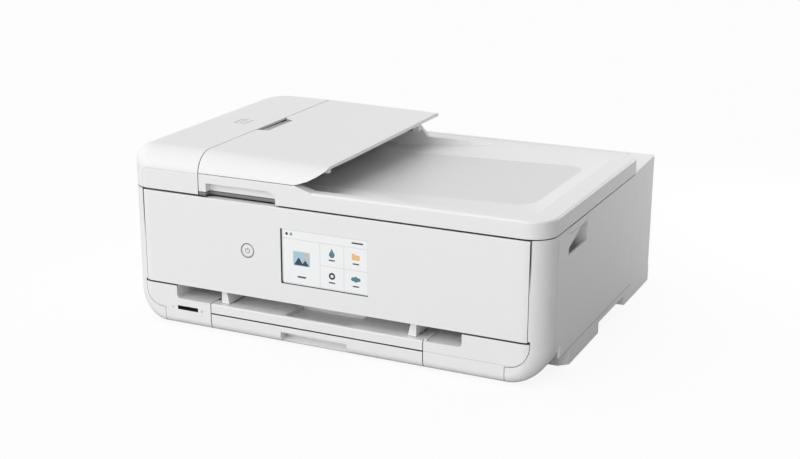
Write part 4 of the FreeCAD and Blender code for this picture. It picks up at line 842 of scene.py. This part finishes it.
def makeFloor():  # nearly white where it is seen, and grey to the light that it throws back
    floor = startPiece(bpy.ops.mesh.primitive_plane_add, size=stageSet["floorSize"], location=(0, 0, 0))
    floor.name = "floor"
    material, tree, shader = newMaterial("paleFloor")
    shader.inputs["Roughness"].default_value = stageSet["floorRough"]
    seen = seenDirectly(tree)
    color = mixColors(tree, seen, stageSet["floorBounce"], stageSet["floorShadow"])
    wire(tree, color, shader.inputs["Base Color"])
    glow = addNode(tree, "ShaderNodeEmission", {"Color": (1, 1, 1, 1), "Strength": 1.0})
    blend = addNode(tree, "ShaderNodeMixShader")
    wire(tree, mathNode(tree, "MULTIPLY", seen, stageSet["floorSeen"]), blend.inputs[0])
    wire(tree, shader.outputs[0], blend.inputs[1])
    wire(tree, glow.outputs[0], blend.inputs[2])
    wire(tree, blend.outputs[0], tree.nodes["Material Output"].inputs["Surface"])
    floor.data.materials.append(material)


def makeSky():  # white where it is seen, and brighter from the left and the front as light
    world = bpy.data.worlds.new("studioSky")
    bpy.context.scene.world = world
    world.use_nodes = True
    tree = world.node_tree
    backdrop = tree.nodes["Background"]
    backdrop.inputs["Color"].default_value = (1, 1, 1, 1)
    coords = addNode(tree, "ShaderNodeTexCoord")
    way = addNode(tree, "ShaderNodeSeparateXYZ")
    wire(tree, coords.outputs["Generated"], way.inputs[0])
    forward = mathNode(tree, "MULTIPLY", way.outputs[1], -1.0)
    ahead = mathNode(tree, "SUBTRACT", 1.0, fade(tree, forward, *stageSet["skyFrontEdge"]))
    aside = fade(tree, way.outputs[0], *stageSet["skyLeftEdge"])
    side = mathNode(tree, "MULTIPLY", aside, stageSet["skyLeft"])
    level = mathNode(tree, "MULTIPLY_ADD", ahead, stageSet["skyFront"], side)
    seen = seenDirectly(tree)
    hidden = mathNode(tree, "MULTIPLY", mathNode(tree, "SUBTRACT", 1.0, seen), level)
    wire(tree, mathNode(tree, "ADD", hidden, seen), backdrop.inputs["Strength"])


lampSet = {
    "frontLamp": {"place": (-1.7, -2.2, 1.0), "aim": (0, 0, 0.1), "side": 1.2, "watts": 7.0},
    "backLamp": {"place": (0.52, 0.62, 0.28), "aim": (0.23, 0.1, 0.1), "side": 0.25, "watts": 1.1}}


def makeLamps():
    for name, settings in lampSet.items():
        bpy.ops.object.light_add(type="AREA", location=settings["place"])
        lamp = bpy.context.object
        lamp.name = name
        lamp.data.shape = "SQUARE"
        lamp.data.size = settings["side"]
        lamp.data.energy = settings["watts"]
        lamp.visible_camera = False
        way = Vector(settings["aim"]) - Vector(settings["place"])
        lamp.rotation_euler = way.to_track_quat("-Z", "Y").to_euler()


cameraSet = {"azimuth": 25.219, "elevation": 16.622, "roll": 0.242, "lens": 60.534, "sensor": 36.0,
             "eye": (0.610054, -1.301883, 0.510277)}


def makeCamera():
    bpy.ops.object.camera_add(location=cameraSet["eye"])
    camera = bpy.context.object
    turn, tilt, roll = (math.radians(cameraSet[key]) for key in ("azimuth", "elevation", "roll"))
    backWay = Vector((math.sin(turn) * math.cos(tilt), -math.cos(turn) * math.cos(tilt), math.sin(tilt)))
    right = Vector((math.cos(turn), math.sin(turn), 0))
    up = backWay.cross(right)
    rolledRight = right * math.cos(roll) + up * math.sin(roll)
    rolledUp = up * math.cos(roll) - right * math.sin(roll)
    axes = Matrix((rolledRight, rolledUp, backWay)).transposed().to_4x4()
    camera.matrix_world = Matrix.Translation(cameraSet["eye"]) @ axes
    camera.data.lens = cameraSet["lens"]
    camera.data.sensor_width = cameraSet["sensor"]
    camera.data.sensor_fit = "HORIZONTAL"
    bpy.context.scene.camera = camera


makeFloor()
makeSky()
makeLamps()
makeCamera()
bpy.context.scene.view_settings.view_transform = "Standard"
print("stage, lamps and camera set")
